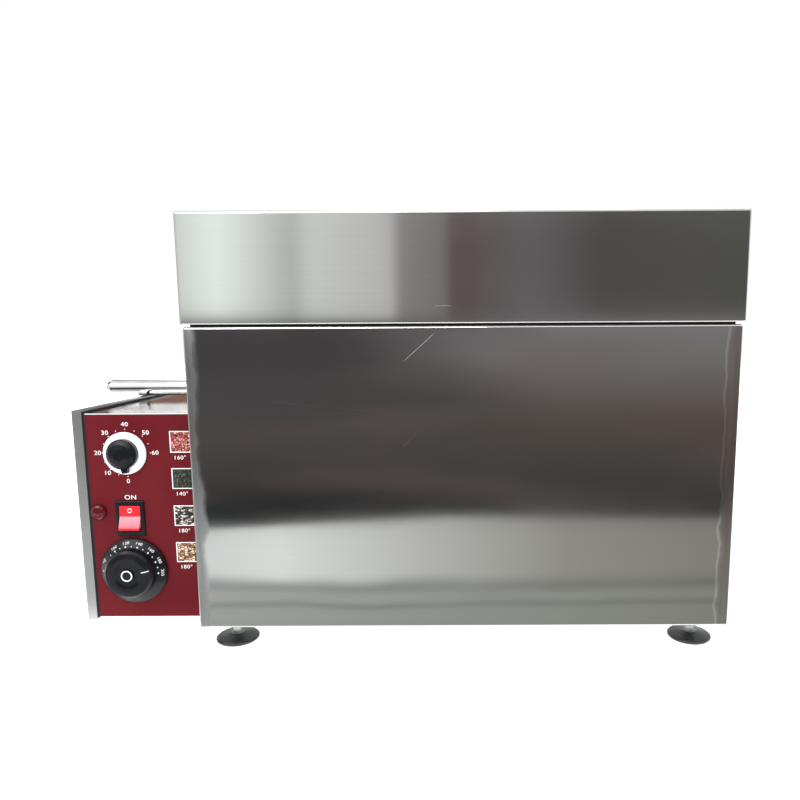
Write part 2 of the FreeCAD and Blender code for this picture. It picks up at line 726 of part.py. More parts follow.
def make_drum_end(label, outer_face, outward):
    """A dished end plate with a ring of steam holes; its rim lies inside the drum's end."""
    end = Solid(label, y=drum_plane, z=d.axis_height)
    sheet = d.end_sheet
    bend = d.rim_bend
    inner_face = outer_face - outward * sheet
    rim_end = outer_face + outward * d.end_rim
    # The bend's inside runs parallel to its outside, one sheet away
    bend_inside = sheet * math.tan(math.pi / 8)
    end.revolve("XY", [
        (inner_face, d.shaft_radius),
        (inner_face, drum_bore - bend),
        (inner_face + outward * bend, drum_bore),
        (rim_end, drum_bore),
        (rim_end, drum_bore - sheet),
        (inner_face + outward * (bend + bend_inside), drum_bore - sheet),
        (outer_face, drum_bore - bend - bend_inside),
        (outer_face, d.shaft_radius),
    ], "X")
    low, high = (outer_face, inner_face) if outward < 0 else (inner_face, outer_face)
    hole = end.pocket("YZ", [Circle(0, d.vent_circle, d.vent_radius)], low - PAST, high + PAST)
    end.polar(hole, "X", d.vent_count)


def make_shaft_rod():
    """The left shaft, which reaches out over the control box as the lifting rod."""
    rod = Solid("shaft_rod", y=drum_plane, z=d.axis_height)
    free_end = -half_width - d.rod_reach
    collar = -liner_inside + d.collar_play
    rod.revolve("XY", [
        (free_end, 0),
        (free_end, d.rod_tip_radius - d.rod_chamfer / 2),
        (free_end + d.rod_chamfer, d.rod_tip_radius),
        (-half_width - d.journal_past - d.edge_bevel, d.rod_root_radius),
        (-half_width - d.journal_past, d.shaft_radius),
        (collar, d.shaft_radius),
        (collar, d.collar_radius),
        (collar + d.collar_width, d.collar_radius),
        (collar + d.collar_width, d.shaft_radius),
        (end_left - d.hub_sheet, d.shaft_radius),
        (end_left - d.hub_sheet, d.hub_radius),
        (end_left, d.hub_radius),
        (end_left, d.shaft_radius),
        (end_left + d.end_sheet, d.shaft_radius),
        (end_left + d.end_sheet, 0),
    ], "X")


def make_shaft_stub():
    """The right shaft, with a short stub outside the wall."""
    stub = Solid("shaft_stub", y=drum_plane, z=d.axis_height)
    free_end = half_width + d.stub_reach
    collar = liner_inside - d.collar_play
    stub.revolve("XY", [
        (end_right - d.end_sheet, 0),
        (end_right - d.end_sheet, d.shaft_radius),
        (end_right, d.shaft_radius),
        (end_right, d.hub_radius),
        (end_right + d.hub_sheet, d.hub_radius),
        (end_right + d.hub_sheet, d.collar_radius),
        (collar, d.collar_radius),
        (collar, d.shaft_radius),
        (free_end - d.rod_chamfer / 2, d.shaft_radius),
        (free_end, d.shaft_radius - d.rod_chamfer / 2),
        (free_end, 0),
    ], "X")


def make_mixing_flights():
    """Three twisted blades stand on the drum's wall, away from the hatch, and turn the load over."""
    outer = number(drum_bore)
    inner = outer - number(d.flight_height)
    half_sheet = number(d.flight_sheet) / 2
    left = number(end_left + d.end_sheet + d.flight_gap)
    right = number(end_right - d.end_sheet - d.flight_gap)
    twist = number(d.flight_twist)
    # The blade's foot follows the drum's round wall
    foot = math.sqrt(outer ** 2 - half_sheet ** 2)
    section = [(-half_sheet, foot), (half_sheet, foot), (half_sheet, inner), (-half_sheet, inner)]
    steps = 6
    opposite_hatch = 180
    blades = []
    for blade in (-1, 0, 1):
        middle = opposite_hatch + blade * number(d.flight_spacing)
        wires = []
        for step in range(steps + 1):
            share = step / steps
            turn = Rotation(Vector(1, 0, 0), -(middle - twist + 2 * twist * share))
            along = left + (right - left) * share
            points = [turn.multVec(Vector(0, across, out)) + Vector(along, 0, 0) for across, out in section]
            wires.append(Part.makePolygon(points + points[:1]))
        blades.append(Part.makeLoft(wires, True, True))
    part_feature("mixing_flights", Part.makeCompound(blades), y=drum_plane, z=d.axis_height)


def cylinder(label, radius, x0, x1, start_angle=0, sweep=360):
    """A cylinder along the drum's axis, swept from an angle measured from the top to the back."""
    solid = doc.addObject("Part::Cylinder", label)
    turn = Rotation(Vector(0, 1, 0), -90) * Rotation(Vector(0, 0, 1), start_angle)
    solid.Placement = FreeCAD.Placement(Vector(), turn)
    bind(solid, "Placement.Base.x", x1)
    bind(solid, "Radius", radius)
    bind(solid, "Height", x1 - as_size(x0))
    solid.Angle = sweep
    return solid


def cut(label, base, tool):
    result = doc.addObject("Part::Cut", label)
    result.Base = base
    result.Tool = tool
    return result


def join(label, shapes):
    result = doc.addObject("Part::MultiFuse", label)
    result.Shapes = shapes
    return result


def arc_plate(label, inner, outer, x0, x1, start_angle, sweep):
    """A curved plate round the drum's axis, between two radii."""
    base = cylinder(label + "_outer", outer, x0, x1, start_angle, sweep)
    hollow = cylinder(label + "_inner", inner, x0, x1, start_angle, sweep)
    return cut(label + "_plate", base, hollow)


def make_hatch_door():
    """The curved door, with a turned-up grip along its front edge."""
    inner = d.drum_radius + d.door_lift
    outer = inner + d.door_sheet
    angle = number(d.door_angle)
    left = -d.hatch_left - d.door_overlap
    right = d.hatch_right + d.door_overlap
    sheet = arc_plate("door_sheet_body", inner, outer, left, right, -angle, 2 * angle)
    grip_inset = d.rail_lip + d.grip_room
    grip = arc_plate("door_grip_body", inner, inner + d.grip_height, left + grip_inset,
                     right - grip_inset, -angle, number(d.grip_angle))
    door = join("hatch_door", [sheet, grip])
    door.Label = "hatch_door"
    place(door, y=drum_plane, z=d.axis_height)
    subparts.append(door)


def make_hatch_rails():
    """Two curved guides hold the door at its ends, closed by stops at both of their ends."""
    door_angle = number(d.door_angle)
    slack = number(d.rail_slack)
    stop = number(d.stop_angle)
    start = -door_angle - slack
    sweep = 2 * door_angle + number(d.door_travel) + 2 * slack
    top = d.drum_radius + d.rail_height
    pieces = []
    for side, door_end in ((-1, -d.hatch_left - d.door_overlap), (1, d.hatch_right + d.door_overlap)):
        web_inside = door_end + side * d.rail_room
        web_outside = web_inside + side * d.rail_sheet
        lip_inside = door_end - side * d.rail_lip
        web = sorted((web_inside, web_outside), key=number)
        lip = sorted((lip_inside, web_outside), key=number)
        name = f"rail_{'left' if side < 0 else 'right'}"
        pieces.append(arc_plate(name + "_web", d.drum_radius, top, *web, start, sweep))
        pieces.append(arc_plate(name + "_lip", top - d.rail_sheet, top, *lip, start, sweep))
        for end, angle in (("front", start - stop), ("back", start + sweep)):
            pieces.append(arc_plate(f"{name}_{end}_stop", d.drum_radius, top, *lip, angle, stop))
    rails = join("hatch_rails", pieces)
    rails.Label = "hatch_rails"
    place(rails, y=drum_plane, z=d.axis_height)
    subparts.append(rails)


# Drive
def involute_flank(base_radius, start_radius, tip_radius, offset):
    """Three points of a tooth's flank, as (radius, angle) from the tooth's middle line."""
    points = []
    for radius in (start_radius, (start_radius + tip_radius) / 2, tip_radius):
        pressure = math.acos(min(1.0, base_radius / radius))
        points.append((radius, offset - (math.tan(pressure) - pressure)))
    return points


def at_angle(radius, angle):
    """A point in the YZ plane, the angle measured from +Z towards +Y."""
    return Vector(0, radius * math.sin(angle), radius * math.cos(angle))


def gear_shape(teeth, width, bore_radius, first_tooth):
    """A spur gear along X from x = 0, its teeth involute within a few hundredths, with a plain bore."""
    module = number(d.gear_module)
    pressure = math.radians(number(d.pressure_angle))
    pitch_radius = module * teeth / 2
    base_radius = pitch_radius * math.cos(pressure)
    tip_radius = pitch_radius + module
    root_radius = pitch_radius - number(d.root_depth) * module
    flank_start = max(base_radius, root_radius + number(d.root_step))
    half_tooth = (math.pi * module / 2 - number(d.gear_backlash) / 2) / 2 / pitch_radius
    offset = half_tooth + math.tan(pressure) - pressure
    flank = involute_flank(base_radius, flank_start, tip_radius, offset)
    pitch = 2 * math.pi / teeth
    edges = []
    for tooth in range(teeth):
        middle = first_tooth + tooth * pitch
        rising = [at_angle(radius, middle - angle) for radius, angle in flank]
        falling = [at_angle(radius, middle + angle) for radius, angle in reversed(flank)]
        foot_angle = flank[0][1]
        root_in = at_angle(root_radius, middle - foot_angle)
        root_out = at_angle(root_radius, middle + foot_angle)
        next_root = at_angle(root_radius, middle + pitch - foot_angle)
        valley = at_angle(root_radius, middle + pitch / 2)
        edges.append(Part.LineSegment(root_in, rising[0]).toShape())
        edges.append(Part.Arc(*rising).toShape())
        edges.append(Part.Arc(rising[-1], at_angle(tip_radius, middle), falling[0]).toShape())
        edges.append(Part.Arc(*falling).toShape())
        edges.append(Part.LineSegment(falling[-1], root_out).toShape())
        edges.append(Part.Arc(root_out, valley, next_root).toShape())
    blank = Part.Face(Part.Wire(edges)).extrude(Vector(width, 0, 0))
    bore = Part.makeCylinder(bore_radius, width, Vector(), Vector(1, 0, 0))
    return blank.cut(bore)


def make_ring_gear():
    """The ring gear on the drum's left end; a tooth gap faces the pinion below."""
    teeth = int(number(d.ring_teeth))
    shape = gear_shape(teeth, number(d.ring_width), number(d.ring_bore), math.pi + math.pi / teeth)
    left = end_left - d.ring_offset - d.ring_width
    part_feature("ring_gear", shape, left, drum_plane, d.axis_height)


def make_gear_spacers():
    spacers = Solid("gear_spacers", y=drum_plane, z=d.axis_height)
    post = Circle(0, d.spacer_circle, d.spacer_radius)
    feature = spacers.pad("YZ", [post], end_left - d.ring_offset, end_left)
    spacers.polar(feature, "X", d.spacer_count)


def make_pinion():
    teeth = int(number(d.pinion_teeth))
    shape = gear_shape(teeth, number(d.pinion_width), number(d.drive_radius), 0)
    left = end_left - d.ring_offset - (d.ring_width + d.pinion_width) / 2
    part_feature("pinion_gear", shape, left, drum_plane, pinion_height)


def bevelled_bar(left, right, radius):
    """Half the outline of a round bar along X with bevelled ends."""
    bevel = d.edge_bevel
    return [
        (left, 0),
        (left, radius - bevel),
        (left + bevel, radius),
        (right - bevel, radius),
        (right, radius - bevel),
        (right, 0),
    ]


def make_drive_shaft():
    shaft = Solid("drive_shaft", y=drum_plane, z=pinion_height)
    left = -half_width - d.gearbox_gap - d.drive_grip
    right = end_left - d.ring_offset + d.drive_past
    shaft.revolve("XY", bevelled_bar(left, right, d.drive_radius), "X")


def make_drive_sleeve():
    """A flanged bronze sleeve carries the drive shaft through the wall."""
    sleeve = Solid("drive_sleeve", -half_width, drum_plane, pinion_height)
    bore = d.drive_radius + d.drive_play
    sleeve.revolve("XY", [
        (-d.sleeve_sheet, bore),
        (wall_depth + d.sleeve_past, bore),
        (wall_depth + d.sleeve_past, d.sleeve_radius),
        (0, d.sleeve_radius),
        (0, d.sleeve_flange),
        (-d.sleeve_sheet, d.sleeve_flange),
    ], "X")


def make_gearbox():
    gearbox = Solid("gearbox", -half_width - d.gearbox_gap, drum_plane, pinion_height)
    half = d.gearbox_side / 2
    gearbox.pad("YZ", [box(-half, -half, half, half)], -d.gearbox_length, 0)
    gearbox.fillet(d.gearbox_corner, along_x)
    gearbox.chamfer(d.gearbox_bevel, lambda limits: near(limits.XMin, 0))
    gearbox.pad("YZ", [Circle(0, 0, d.boss_radius)], -PAST, d.boss_height)
    for y in (-d.post_offset, d.post_offset):
        feet = [Circle(y, z, d.post_radius) for z in (-d.post_offset, d.post_offset)]
        gearbox.pad("YZ", feet, -PAST, d.gearbox_gap)
    bore = Circle(0, 0, d.drive_radius + d.drive_play)
    gearbox.pocket("YZ", [bore], d.gearbox_wall - d.gearbox_length, d.boss_height + PAST)


def make_motor():
    motor = Solid("drive_motor", -half_width - d.gearbox_gap - d.gearbox_length, drum_plane, pinion_height)
    radius = d.motor_radius
    step = d.motor_step
    bevel = d.edge_bevel
    end = bevel - d.motor_length
    motor.revolve("XY", [
        (0, 0),
        (0, radius - step),
        (-step, radius - step),
        (-step - bevel, radius),
        (end + step, radius),
        (end, radius - step),
        (end, d.motor_cap),
        (-d.motor_length, d.motor_cap - bevel),
        (-d.motor_length, 0),
    ], "X")


# Heating
def make_heater_tubes():
    """Two sheathed U-shaped heaters under the drum, with both legs through the left wall."""
    left = -half_width - d.heater_end
    pieces = []
    for number_of_loop, side in enumerate((-1, 1)):
        middle = drum_plane + side * d.heater_offset
        for leg in (-1, 1):
            tube = cylinder(f"heater_{number_of_loop}_{'front' if leg < 0 else 'back'}",
                            d.heater_radius, left, d.heater_right)
            bind(tube, "Placement.Base.y", middle + leg * d.heater_bend)
            pieces.append(tube)
        bend = doc.addObject("Part::Torus", f"heater_{number_of_loop}_bend")
        bind(bend, "Radius1", d.heater_bend)
        bind(bend, "Radius2", d.heater_radius)
        bend.Angle3 = 180
        bend.Placement = FreeCAD.Placement(Vector(), Rotation(Vector(0, 0, 1), -90))
        bind(bend, "Placement.Base.x", d.heater_right)
        bind(bend, "Placement.Base.y", middle)
        pieces.append(bend)
    heaters = join("heater_tubes", pieces)
    heaters.Label = "heater_tubes"
    place(heaters, z=d.heater_height)
    subparts.append(heaters)


def make_heater_terminals():
    """A nut holds each heater leg at the wall, and a ceramic bead with a stud closes it."""
    terminals = Solid("heater_terminals")
    left = -half_width - d.heater_end
    for leg in heater_legs:
        outline = hexagon(leg, d.heater_height, d.terminal_flats)
        leg_hole = Circle(leg, d.heater_height, d.heater_radius)
        bead = Circle(leg, d.heater_height, d.bead_radius)
        pin = Circle(leg, d.heater_height, d.pin_radius)
        bead_end = left - d.bead_length
        terminals.pad("YZ", [outline, leg_hole], -half_width - d.terminal_height, -half_width)
        terminals.pad("YZ", [bead], bead_end, left)
        terminals.pad("YZ", [pin], bead_end - d.pin_length, bead_end)


def make_heater_cradle():
    """An upright strip on the chamber floor carries the heater loops."""
    cradle = Solid("heater_cradle")
    first = heater_legs[0] - d.cradle_margin
    last = heater_legs[-1] + d.cradle_margin
    foot = d.chamber_floor
    left = d.cradle_place
    sheet = d.cradle_sheet
    strip = box(first, foot, last, d.heater_height)
    cradle.pad("YZ", [strip], left, left + sheet)
    seats = [Circle(leg, d.heater_height, d.heater_radius) for leg in heater_legs]
    seats.append(Circle(drum_plane, d.bulb_height, d.bulb_radius))
    cradle.pocket("YZ", seats, left - PAST, left + sheet + PAST)
    cradle.pad("XY", [box(left, first, left + d.cradle_foot, last)], foot, foot + sheet)


def make_sensor_bulb():
    """The thermostat's bulb, held by the heater cradle under the drum."""
    bulb = Solid("sensor_bulb", d.cradle_place - d.bulb_lead, drum_plane, d.bulb_height)
    bulb.revolve("XY", bevelled_bar(as_size(0), d.bulb_length, d.bulb_radius), "X")


# Lid
def make_lid_shell():
    shell = Solid("lid_shell")
    outline = box(-lid_half, -d.lid_overhang, lid_half, lid_back)
    shell.pad("XY", [outline], lid_bottom, lid_top)
    shell.fillet(d.bend_radius, lambda limits: upright(limits) or near(limits.ZMin, lid_top))
    shell.chamfer(d.rim_bevel, lambda limits: near(limits.ZMax, lid_bottom))
    inset = d.casing_sheet
    hollow = box(inset - lid_half, inset - d.lid_overhang, lid_half - inset, lid_back - inset)
    shell.pocket("XY", [hollow], lid_bottom, lid_top - d.casing_sheet)


def lid_liner_roof():
    return lid_top - d.casing_sheet - d.lid_wool


def make_lid_liner():
    """The lid's inner pan, with a flange out to the shell's edge."""
    liner = Solid("lid_liner")
    inset = d.casing_sheet
    flange = box(inset - lid_half, inset - d.lid_overhang, lid_half - inset, lid_back - inset)
    front = wall_depth
    back = d.casing_depth - wall_depth
    sheet = d.liner_sheet
    hollow = box(-liner_inside, front, liner_inside, back)
    liner.pad("XY", [flange], lid_bottom, lid_bottom + sheet)
    pan = box(-liner_inside - sheet, front - sheet, liner_inside + sheet, back + sheet)
    liner.pad("XY", [pan], lid_bottom + sheet, lid_liner_roof())
    liner.pocket("XY", [hollow], lid_bottom, lid_liner_roof() - sheet)


def make_lid_insulation():
    wool = Solid("lid_insulation")
    inset = d.casing_sheet
    outline = box(inset - lid_half, inset - d.lid_overhang, lid_half - inset, lid_back - inset)
    sheet = d.liner_sheet
    wool.pad("XY", [outline], lid_bottom + sheet, lid_top - d.casing_sheet)
    front = wall_depth - sheet
    back = d.casing_depth - wall_depth + sheet
    hollow = box(-liner_outside, front, liner_outside, back)
    wool.pocket("XY", [hollow], lid_bottom + sheet, lid_liner_roof())


def make_lid_gasket():
    """A flat cord of black silicone between the rim and the lid."""
    gasket = Solid("lid_gasket")
    outer = d.gasket_inset
    inner = outer + d.gasket_width
    loops = [
        box(outer - half_width, outer, half_width - outer, d.casing_depth - outer),
        box(inner - half_width, inner, half_width - inner, d.casing_depth - inner),
    ]
    gasket.pad("XY", loops, d.casing_height, lid_bottom)


def hinge_places():
    return [(side * d.hinge_side - d.hinge_width / 2) for side in (-1, 1)]


def make_body_leaves():
    """The hinge halves on the casing's back, with a knuckle at each end."""
    leaves = Solid("hinge_body_leaves")
    face = d.casing_depth
    top = hinge_z - d.leaf_start
    for left in hinge_places():
        right = left + d.hinge_width
        leaf = box(left, hinge_z - d.body_leaf_reach, right, top)
        leaves.pad("XZ", [leaf], face, face + d.hinge_sheet)
        for x0, x1 in ((left, left + d.knuckle_length), (right - d.knuckle_length, right)):
            bend = box(face, top - PAST, hinge_y, hinge_z - d.hinge_pin_radius)
            leaves.pad("YZ", [bend], x0, x1)
            leaves.pad("YZ", [Circle(hinge_y, hinge_z, d.knuckle_radius)], x0, x1)
        bore = Circle(hinge_y, hinge_z, d.hinge_pin_radius)
        leaves.pocket("YZ", [bore], left, right)


def make_lid_leaves():
    """The hinge halves on the lid's back, with one knuckle in the middle."""
    leaves = Solid("hinge_lid_leaves")
    for left in hinge_places():
        right = left + d.hinge_width
        bottom = hinge_z + d.leaf_start
        plate = box(left, bottom, right, hinge_z + d.lid_leaf_reach)
        leaves.pad("XZ", [plate], lid_back, lid_back + d.hinge_sheet)
        tongue = box(lid_back, hinge_z + PAST, lid_back + d.hinge_sheet, bottom + PAST)
        knuckle = Circle(hinge_y, hinge_z, d.knuckle_radius)
        inset = d.knuckle_length + d.knuckle_gap
        leaves.pad("YZ", [tongue], left + inset, right - inset)
        leaves.pad("YZ", [knuckle], left + inset, right - inset)
        bore = Circle(hinge_y, hinge_z, d.hinge_pin_radius + d.hinge_play)
        leaves.pocket("YZ", [bore], left, right)


def make_hinge_pins():
    pins = Solid("hinge_pins")
    for left in hinge_places():
        pin = Circle(hinge_y, hinge_z, d.hinge_pin_radius)
        pins.pad("YZ", [pin], left, left + d.hinge_width)


# Control box
def make_side_cover():
    """The left cover: a shallow pan whose flanges show as a frame round the panels."""
    cover = Solid("control_side_cover")
    outline = box(d.control_front, d.control_bottom, d.control_back, d.control_top)
    cover.pad("YZ", [outline], control_left, control_left + d.cover_flange)
    cover.fillet(d.cover_bend, lambda limits: near(limits.XMax, control_left))
    inset = d.casing_sheet
    hollow = box(d.control_front + inset, d.control_bottom + inset,
                 d.control_back - inset, d.control_top - inset)
    cover.pocket("YZ", [hollow], control_left + inset, control_left + d.cover_flange)


def make_control_frame():
    """A folded frame joins the side cover to the panels and stands behind the gap."""
    frame = Solid("control_frame")
    sheet = d.casing_sheet
    cover_inside = box(d.control_front + sheet, d.control_bottom + sheet,
                       d.control_back - sheet, d.control_top - sheet)
    panel_outline = box(panel_face, 0, panel_back_face, d.panel_top)
    hollow = box(panel_face + 2 * sheet, 2 * sheet, panel_back_face - 2 * sheet, d.panel_top - 2 * sheet)
    step = control_left + d.cover_flange + d.frame_step
    frame.pad("YZ", [cover_inside, hollow], control_left + sheet, step)
    frame.pad("YZ", [panel_outline, hollow], step, panel_left)


def make_front_panel():
    """The red panel, folded back along the top, the left side and the underside."""
    panel = Solid("control_front_panel")
    sheet = d.casing_sheet
    right = -half_width
    outline = box(panel_face, 0, panel_face + d.panel_return, d.panel_top)
    panel.pad("YZ", [outline], panel_left, right)
    panel.fillet(d.panel_bend, lambda limits: near(limits.YMax, panel_face) and along_x(limits))
    hollow = box(panel_face + sheet, sheet, panel_face + d.panel_return + PAST, d.panel_top - sheet)
    panel.pocket("YZ", [hollow], panel_left + sheet, right)
    inner = panel_face + sheet
    spindle = d.spindle_radius + d.spindle_room
    half_well = d.rocker_width / 2 + d.rocker_play + d.well_wall
    well = box(d.switch_side - half_well, d.switch_height - d.well_half,
               d.switch_side + half_well, d.switch_height + d.well_half)
    holes = [
        Circle(d.timer_side, d.timer_height, spindle),
        Circle(d.dial_side, d.dial_height, spindle),
        Circle(d.lamp_side, d.lamp_height, d.lamp_hole),
        well,
    ]
    panel.pocket("XZ", holes, panel_face - PAST, inner + PAST)
    back = panel_face + d.panel_return
    low_return = box(panel_left, -PAST, right, sheet + SLIGHT)
    panel.pocket("XZ", [low_return], panel_face + d.panel_lip, back + PAST)
    side_return = box(panel_left - PAST, sheet, panel_left + sheet + SLIGHT, d.panel_top - sheet)
    panel.pocket("XZ", [side_return], inner, back + PAST)


def cooling_slots(count, length, pitch, start):
    """A column of level slots behind the controls."""
    slots = []
    for row in range(int(number(count))):
        low = start + row * pitch
        slots.append(box(d.slot_side - length / 2, low, d.slot_side + length / 2, low + d.slot_width))
    return slots


def make_bottom_plate():
    plate = Solid("control_bottom_plate")
    front = panel_face + d.panel_lip
    back = panel_back_face - d.casing_sheet
    slots = cooling_slots(d.floor_slot_count, d.floor_slot_length, d.floor_slot_pitch, d.floor_slot_start)
    plate.pad("XY", [box(panel_left, front, -half_width, back)] + slots, 0, d.casing_sheet)


def make_back_cover():
    """One folded sheet: the control box's top and its back, with cooling slots."""
    cover = Solid("control_back_cover")
    sheet = d.casing_sheet
    front = panel_face + d.panel_return
    back = panel_back_face
    cover.pad("YZ", [box(front, 0, back, d.panel_top)], panel_left, -half_width)
    cover.fillet(d.panel_bend, lambda limits: near(limits.YMin, back) and near(limits.ZMin, d.panel_top))
    inside = box(front - PAST, -PAST, back - sheet, d.panel_top - sheet)
    cover.pocket("YZ", [inside], panel_left - PAST, -half_width + PAST)
    slots = cooling_slots(d.back_slot_count, d.back_slot_length, d.back_slot_pitch, d.back_slot_start)
    gland_hole = Circle(gland_side, d.gland_height, d.gland_thread)
    cover.pocket("XZ", slots + [gland_hole], back - sheet - PAST, back + PAST)


def make_cable_gland():
    """The gland and its nut inside the box; no cord is fitted."""
    gland = Solid("cable_gland", gland_side, panel_back_face, d.gland_height)
    bore = d.cord_radius
    thread_length = 8
    flange_top = 5
    cap_start = 6
    cap_end = 13
    mouth = 16
    nut_height = 5
    gland.revolve("XY", [
        (bore, -thread_length),
        (d.gland_thread, -thread_length),
        (d.gland_thread, 0),
        (d.gland_flange, 0),
        (d.gland_flange, flange_top),
        (d.gland_cap, cap_start),
        (d.gland_cap, cap_end),
        (d.gland_cap - (mouth - cap_end), mouth),
        (bore, mouth),
    ], "Y")
    inner = -d.casing_sheet
    nut = hexagon(as_size(0), as_size(0), d.gland_flats)
    gland.pad("XZ", [nut, Circle(0, 0, d.gland_thread)], inner - nut_height, inner)


def make_cover_screws():
    """Pan-head screws on the side cover."""
    screws = Solid("cover_screws")
    inset = d.screw_inset
    head = control_left - d.screw_head
    for y in (d.control_front + inset, d.control_back - inset):
        for z in (d.control_bottom + inset, d.control_top - inset):
            screws.pad("YZ", [Circle(y, z, d.screw_radius)], head, control_left)
    screws.chamfer(d.edge_bevel, lambda limits: near(limits.XMax, head))


def make_terminal_block():
    pitch = 12
    ways = 5
    half_length = pitch * ways / 2
    half_base = 11
    half_crown = 6
    base_height = 10
    height = 18
    well_floor = 8
    well_radius = 2.6
    from_gland = 61
    block = Solid("terminal_block", gland_side - 10, d.control_back - from_gland, d.casing_sheet)
    block.pad("XY", [box(-half_length, -half_base, half_length, half_base)], 0, base_height)
    block.pad("XY", [box(-half_length, -half_crown, half_length, half_crown)], base_height, height)
    middles = [(way + 0.5) * pitch - half_length for way in range(ways)]
    block.pocket("XY", [Circle(x, 0, well_radius) for x in middles], well_floor, height + PAST)


# Controls
def make_spindle(label, x, z, grip, root):
    """A round spindle with a flat on the part that its knob grips."""
    spindle = Solid(label, x, panel_face, z)
    radius = d.spindle_radius
    spindle.pad("XZ", [Circle(0, 0, radius)], -grip, root)
    spindle.pocket("XZ", [box(-radius - PAST, d.spindle_flat, radius + PAST, radius + PAST)], -grip, -PAST)


def make_timer():
    timer = Solid("timer_body", d.timer_side, panel_face + d.casing_sheet, d.timer_height)
    across = d.timer_body_width / 2
    up = d.timer_body_height / 2
    timer.pad("XZ", [box(-across, -up, across, up)], 0, d.timer_body_depth)
    timer.fillet(d.body_corner, along_y)
    bore = d.spindle_radius + d.spindle_play
    timer.pocket("XZ", [Circle(0, 0, bore)], -PAST, d.timer_root + d.bore_end)
    make_spindle("timer_spindle", d.timer_side, d.timer_height, d.timer_grip, d.timer_root)


def make_timer_knob():
    """A domed knob with a pointer, on a white skirt."""
    skirt = Solid("timer_skirt", d.timer_side, panel_face, d.timer_height)
    radius = d.skirt_radius
    hole = d.spindle_radius + d.spindle_room
    room = d.knob_room
    edge = 0.6
    rim = 2.2
    slope = 3.0
    front = 4.2
    skirt.revolve("XY", [
        (hole, -room),
        (radius - edge, -room),
        (radius, -room - edge),
        (radius, -rim),
        (radius - edge, -slope),
        (d.knob_radius, -front),
        (hole, -front),
    ], "Y")
    knob = Solid("timer_knob", d.timer_side, panel_face, d.timer_height)
    dome_root = 8.6
    rise = d.knob_height - dome_root
    steps = 4
    dome = [(d.knob_radius * math.cos(math.pi / 2 * step / steps),
             -dome_root - rise * math.sin(math.pi / 2 * step / steps)) for step in range(steps)]
    knob.revolve("XY", [(0, -front), (d.knob_radius, -front)] + dome + [(0, -d.knob_height)], "Y")
    # The pointer stands at the scale's 0, a little to the right of straight down
    lean = math.radians(7)
    pointer_front = 8.4
    outline = [(-3.9, 8), (3.9, 8), (2.3, 16.8), (-2.3, 16.8)]
    pointer = [(across * math.cos(lean) + along * math.sin(lean),
                across * math.sin(lean) - along * math.cos(lean)) for across, along in outline]
    knob.pad("XZ", [pointer], -pointer_front, -front)
    knob.pocket("XZ", [Circle(0, 0, d.spindle_radius)], -d.timer_grip, PAST - front)


def make_switch():
    """The switch: a bezel in front of the panel and a hollow housing behind it."""
    housing = Solid("switch_housing", d.switch_side, panel_face, d.switch_height)
    across = d.bezel_width / 2
    up = d.bezel_height / 2
    bezel_edge = 1.2
    housing.pad("XZ", [box(-across, -up, across, up)], -d.bezel_sheet, 0)
    housing.fillet(bezel_edge, lambda limits: near(limits.YMax, -d.bezel_sheet))
    inside = d.rocker_width / 2 + d.rocker_play
    outside = inside + d.well_wall
    housing.pad("XZ", [box(-outside, -d.well_half, outside, d.well_half)], 0, d.well_depth)
    pivot = d.rocker_pivot
    round_half = d.rocker_radius + d.rocker_play
    housing.pocket("YZ", [Circle(pivot, 0, round_half)], -inside, inside)
    mouth = box(-d.bezel_sheet - PAST, -round_half, pivot, round_half)
    housing.pocket("YZ", [mouth], -inside, inside)
    pin_room = 0.06
    pin_end = 0.1
    pin_hole = Circle(pivot, 0, d.rocker_pin + pin_room)
    pin_reach = d.rocker_width / 2 + d.rocker_pin_reach + pin_end
    housing.pocket("YZ", [pin_hole], -pin_reach - d.rocker_play, pin_reach + d.rocker_play)
    blade_half_width = 3
    blade_half_sheet = 0.4
    blade_spacing = 8
    for z in (-blade_spacing, 0, blade_spacing):
        blade = box(-blade_half_width, z - blade_half_sheet, blade_half_width, z + blade_half_sheet)
        housing.pad("XZ", [blade], d.well_depth, d.well_depth + d.blade_length)


def make_rocker():
    """The rocker, drawn level and then tilted to its rest side, with its top pressed in."""
    radius = number(d.rocker_radius)
    width = number(d.rocker_width)
    edge = number(d.rocker_edge)
    valley = number(d.rocker_valley)
    face_half = number(d.rocker_face)
    reach = radius + PAST
    pin_length = width + 2 * number(d.rocker_pin_reach)
    way = Vector(1, 0, 0)
    disc = Part.makeCylinder(radius, width, Vector(-width / 2, 0, 0), way)
    corners = [(-reach, -reach), (-edge, -reach), (-edge, -face_half), (-valley, 0),
               (-edge, face_half), (-edge, reach), (-reach, reach)]
    points = [Vector(-width / 2 - PAST, y, z) for y, z in corners]
    front = Part.Face(Part.makePolygon(points + points[:1])).extrude(way * (width + 2 * PAST))
    pins = Part.makeCylinder(number(d.rocker_pin), pin_length, Vector(-pin_length / 2, 0, 0), way)
    rocker = disc.cut(front).fuse(pins).removeSplitter()
    rocker.rotate(Vector(), way, -number(d.rocker_tilt))
    part_feature("rocker", rocker, d.switch_side, panel_face + d.rocker_pivot, d.switch_height)


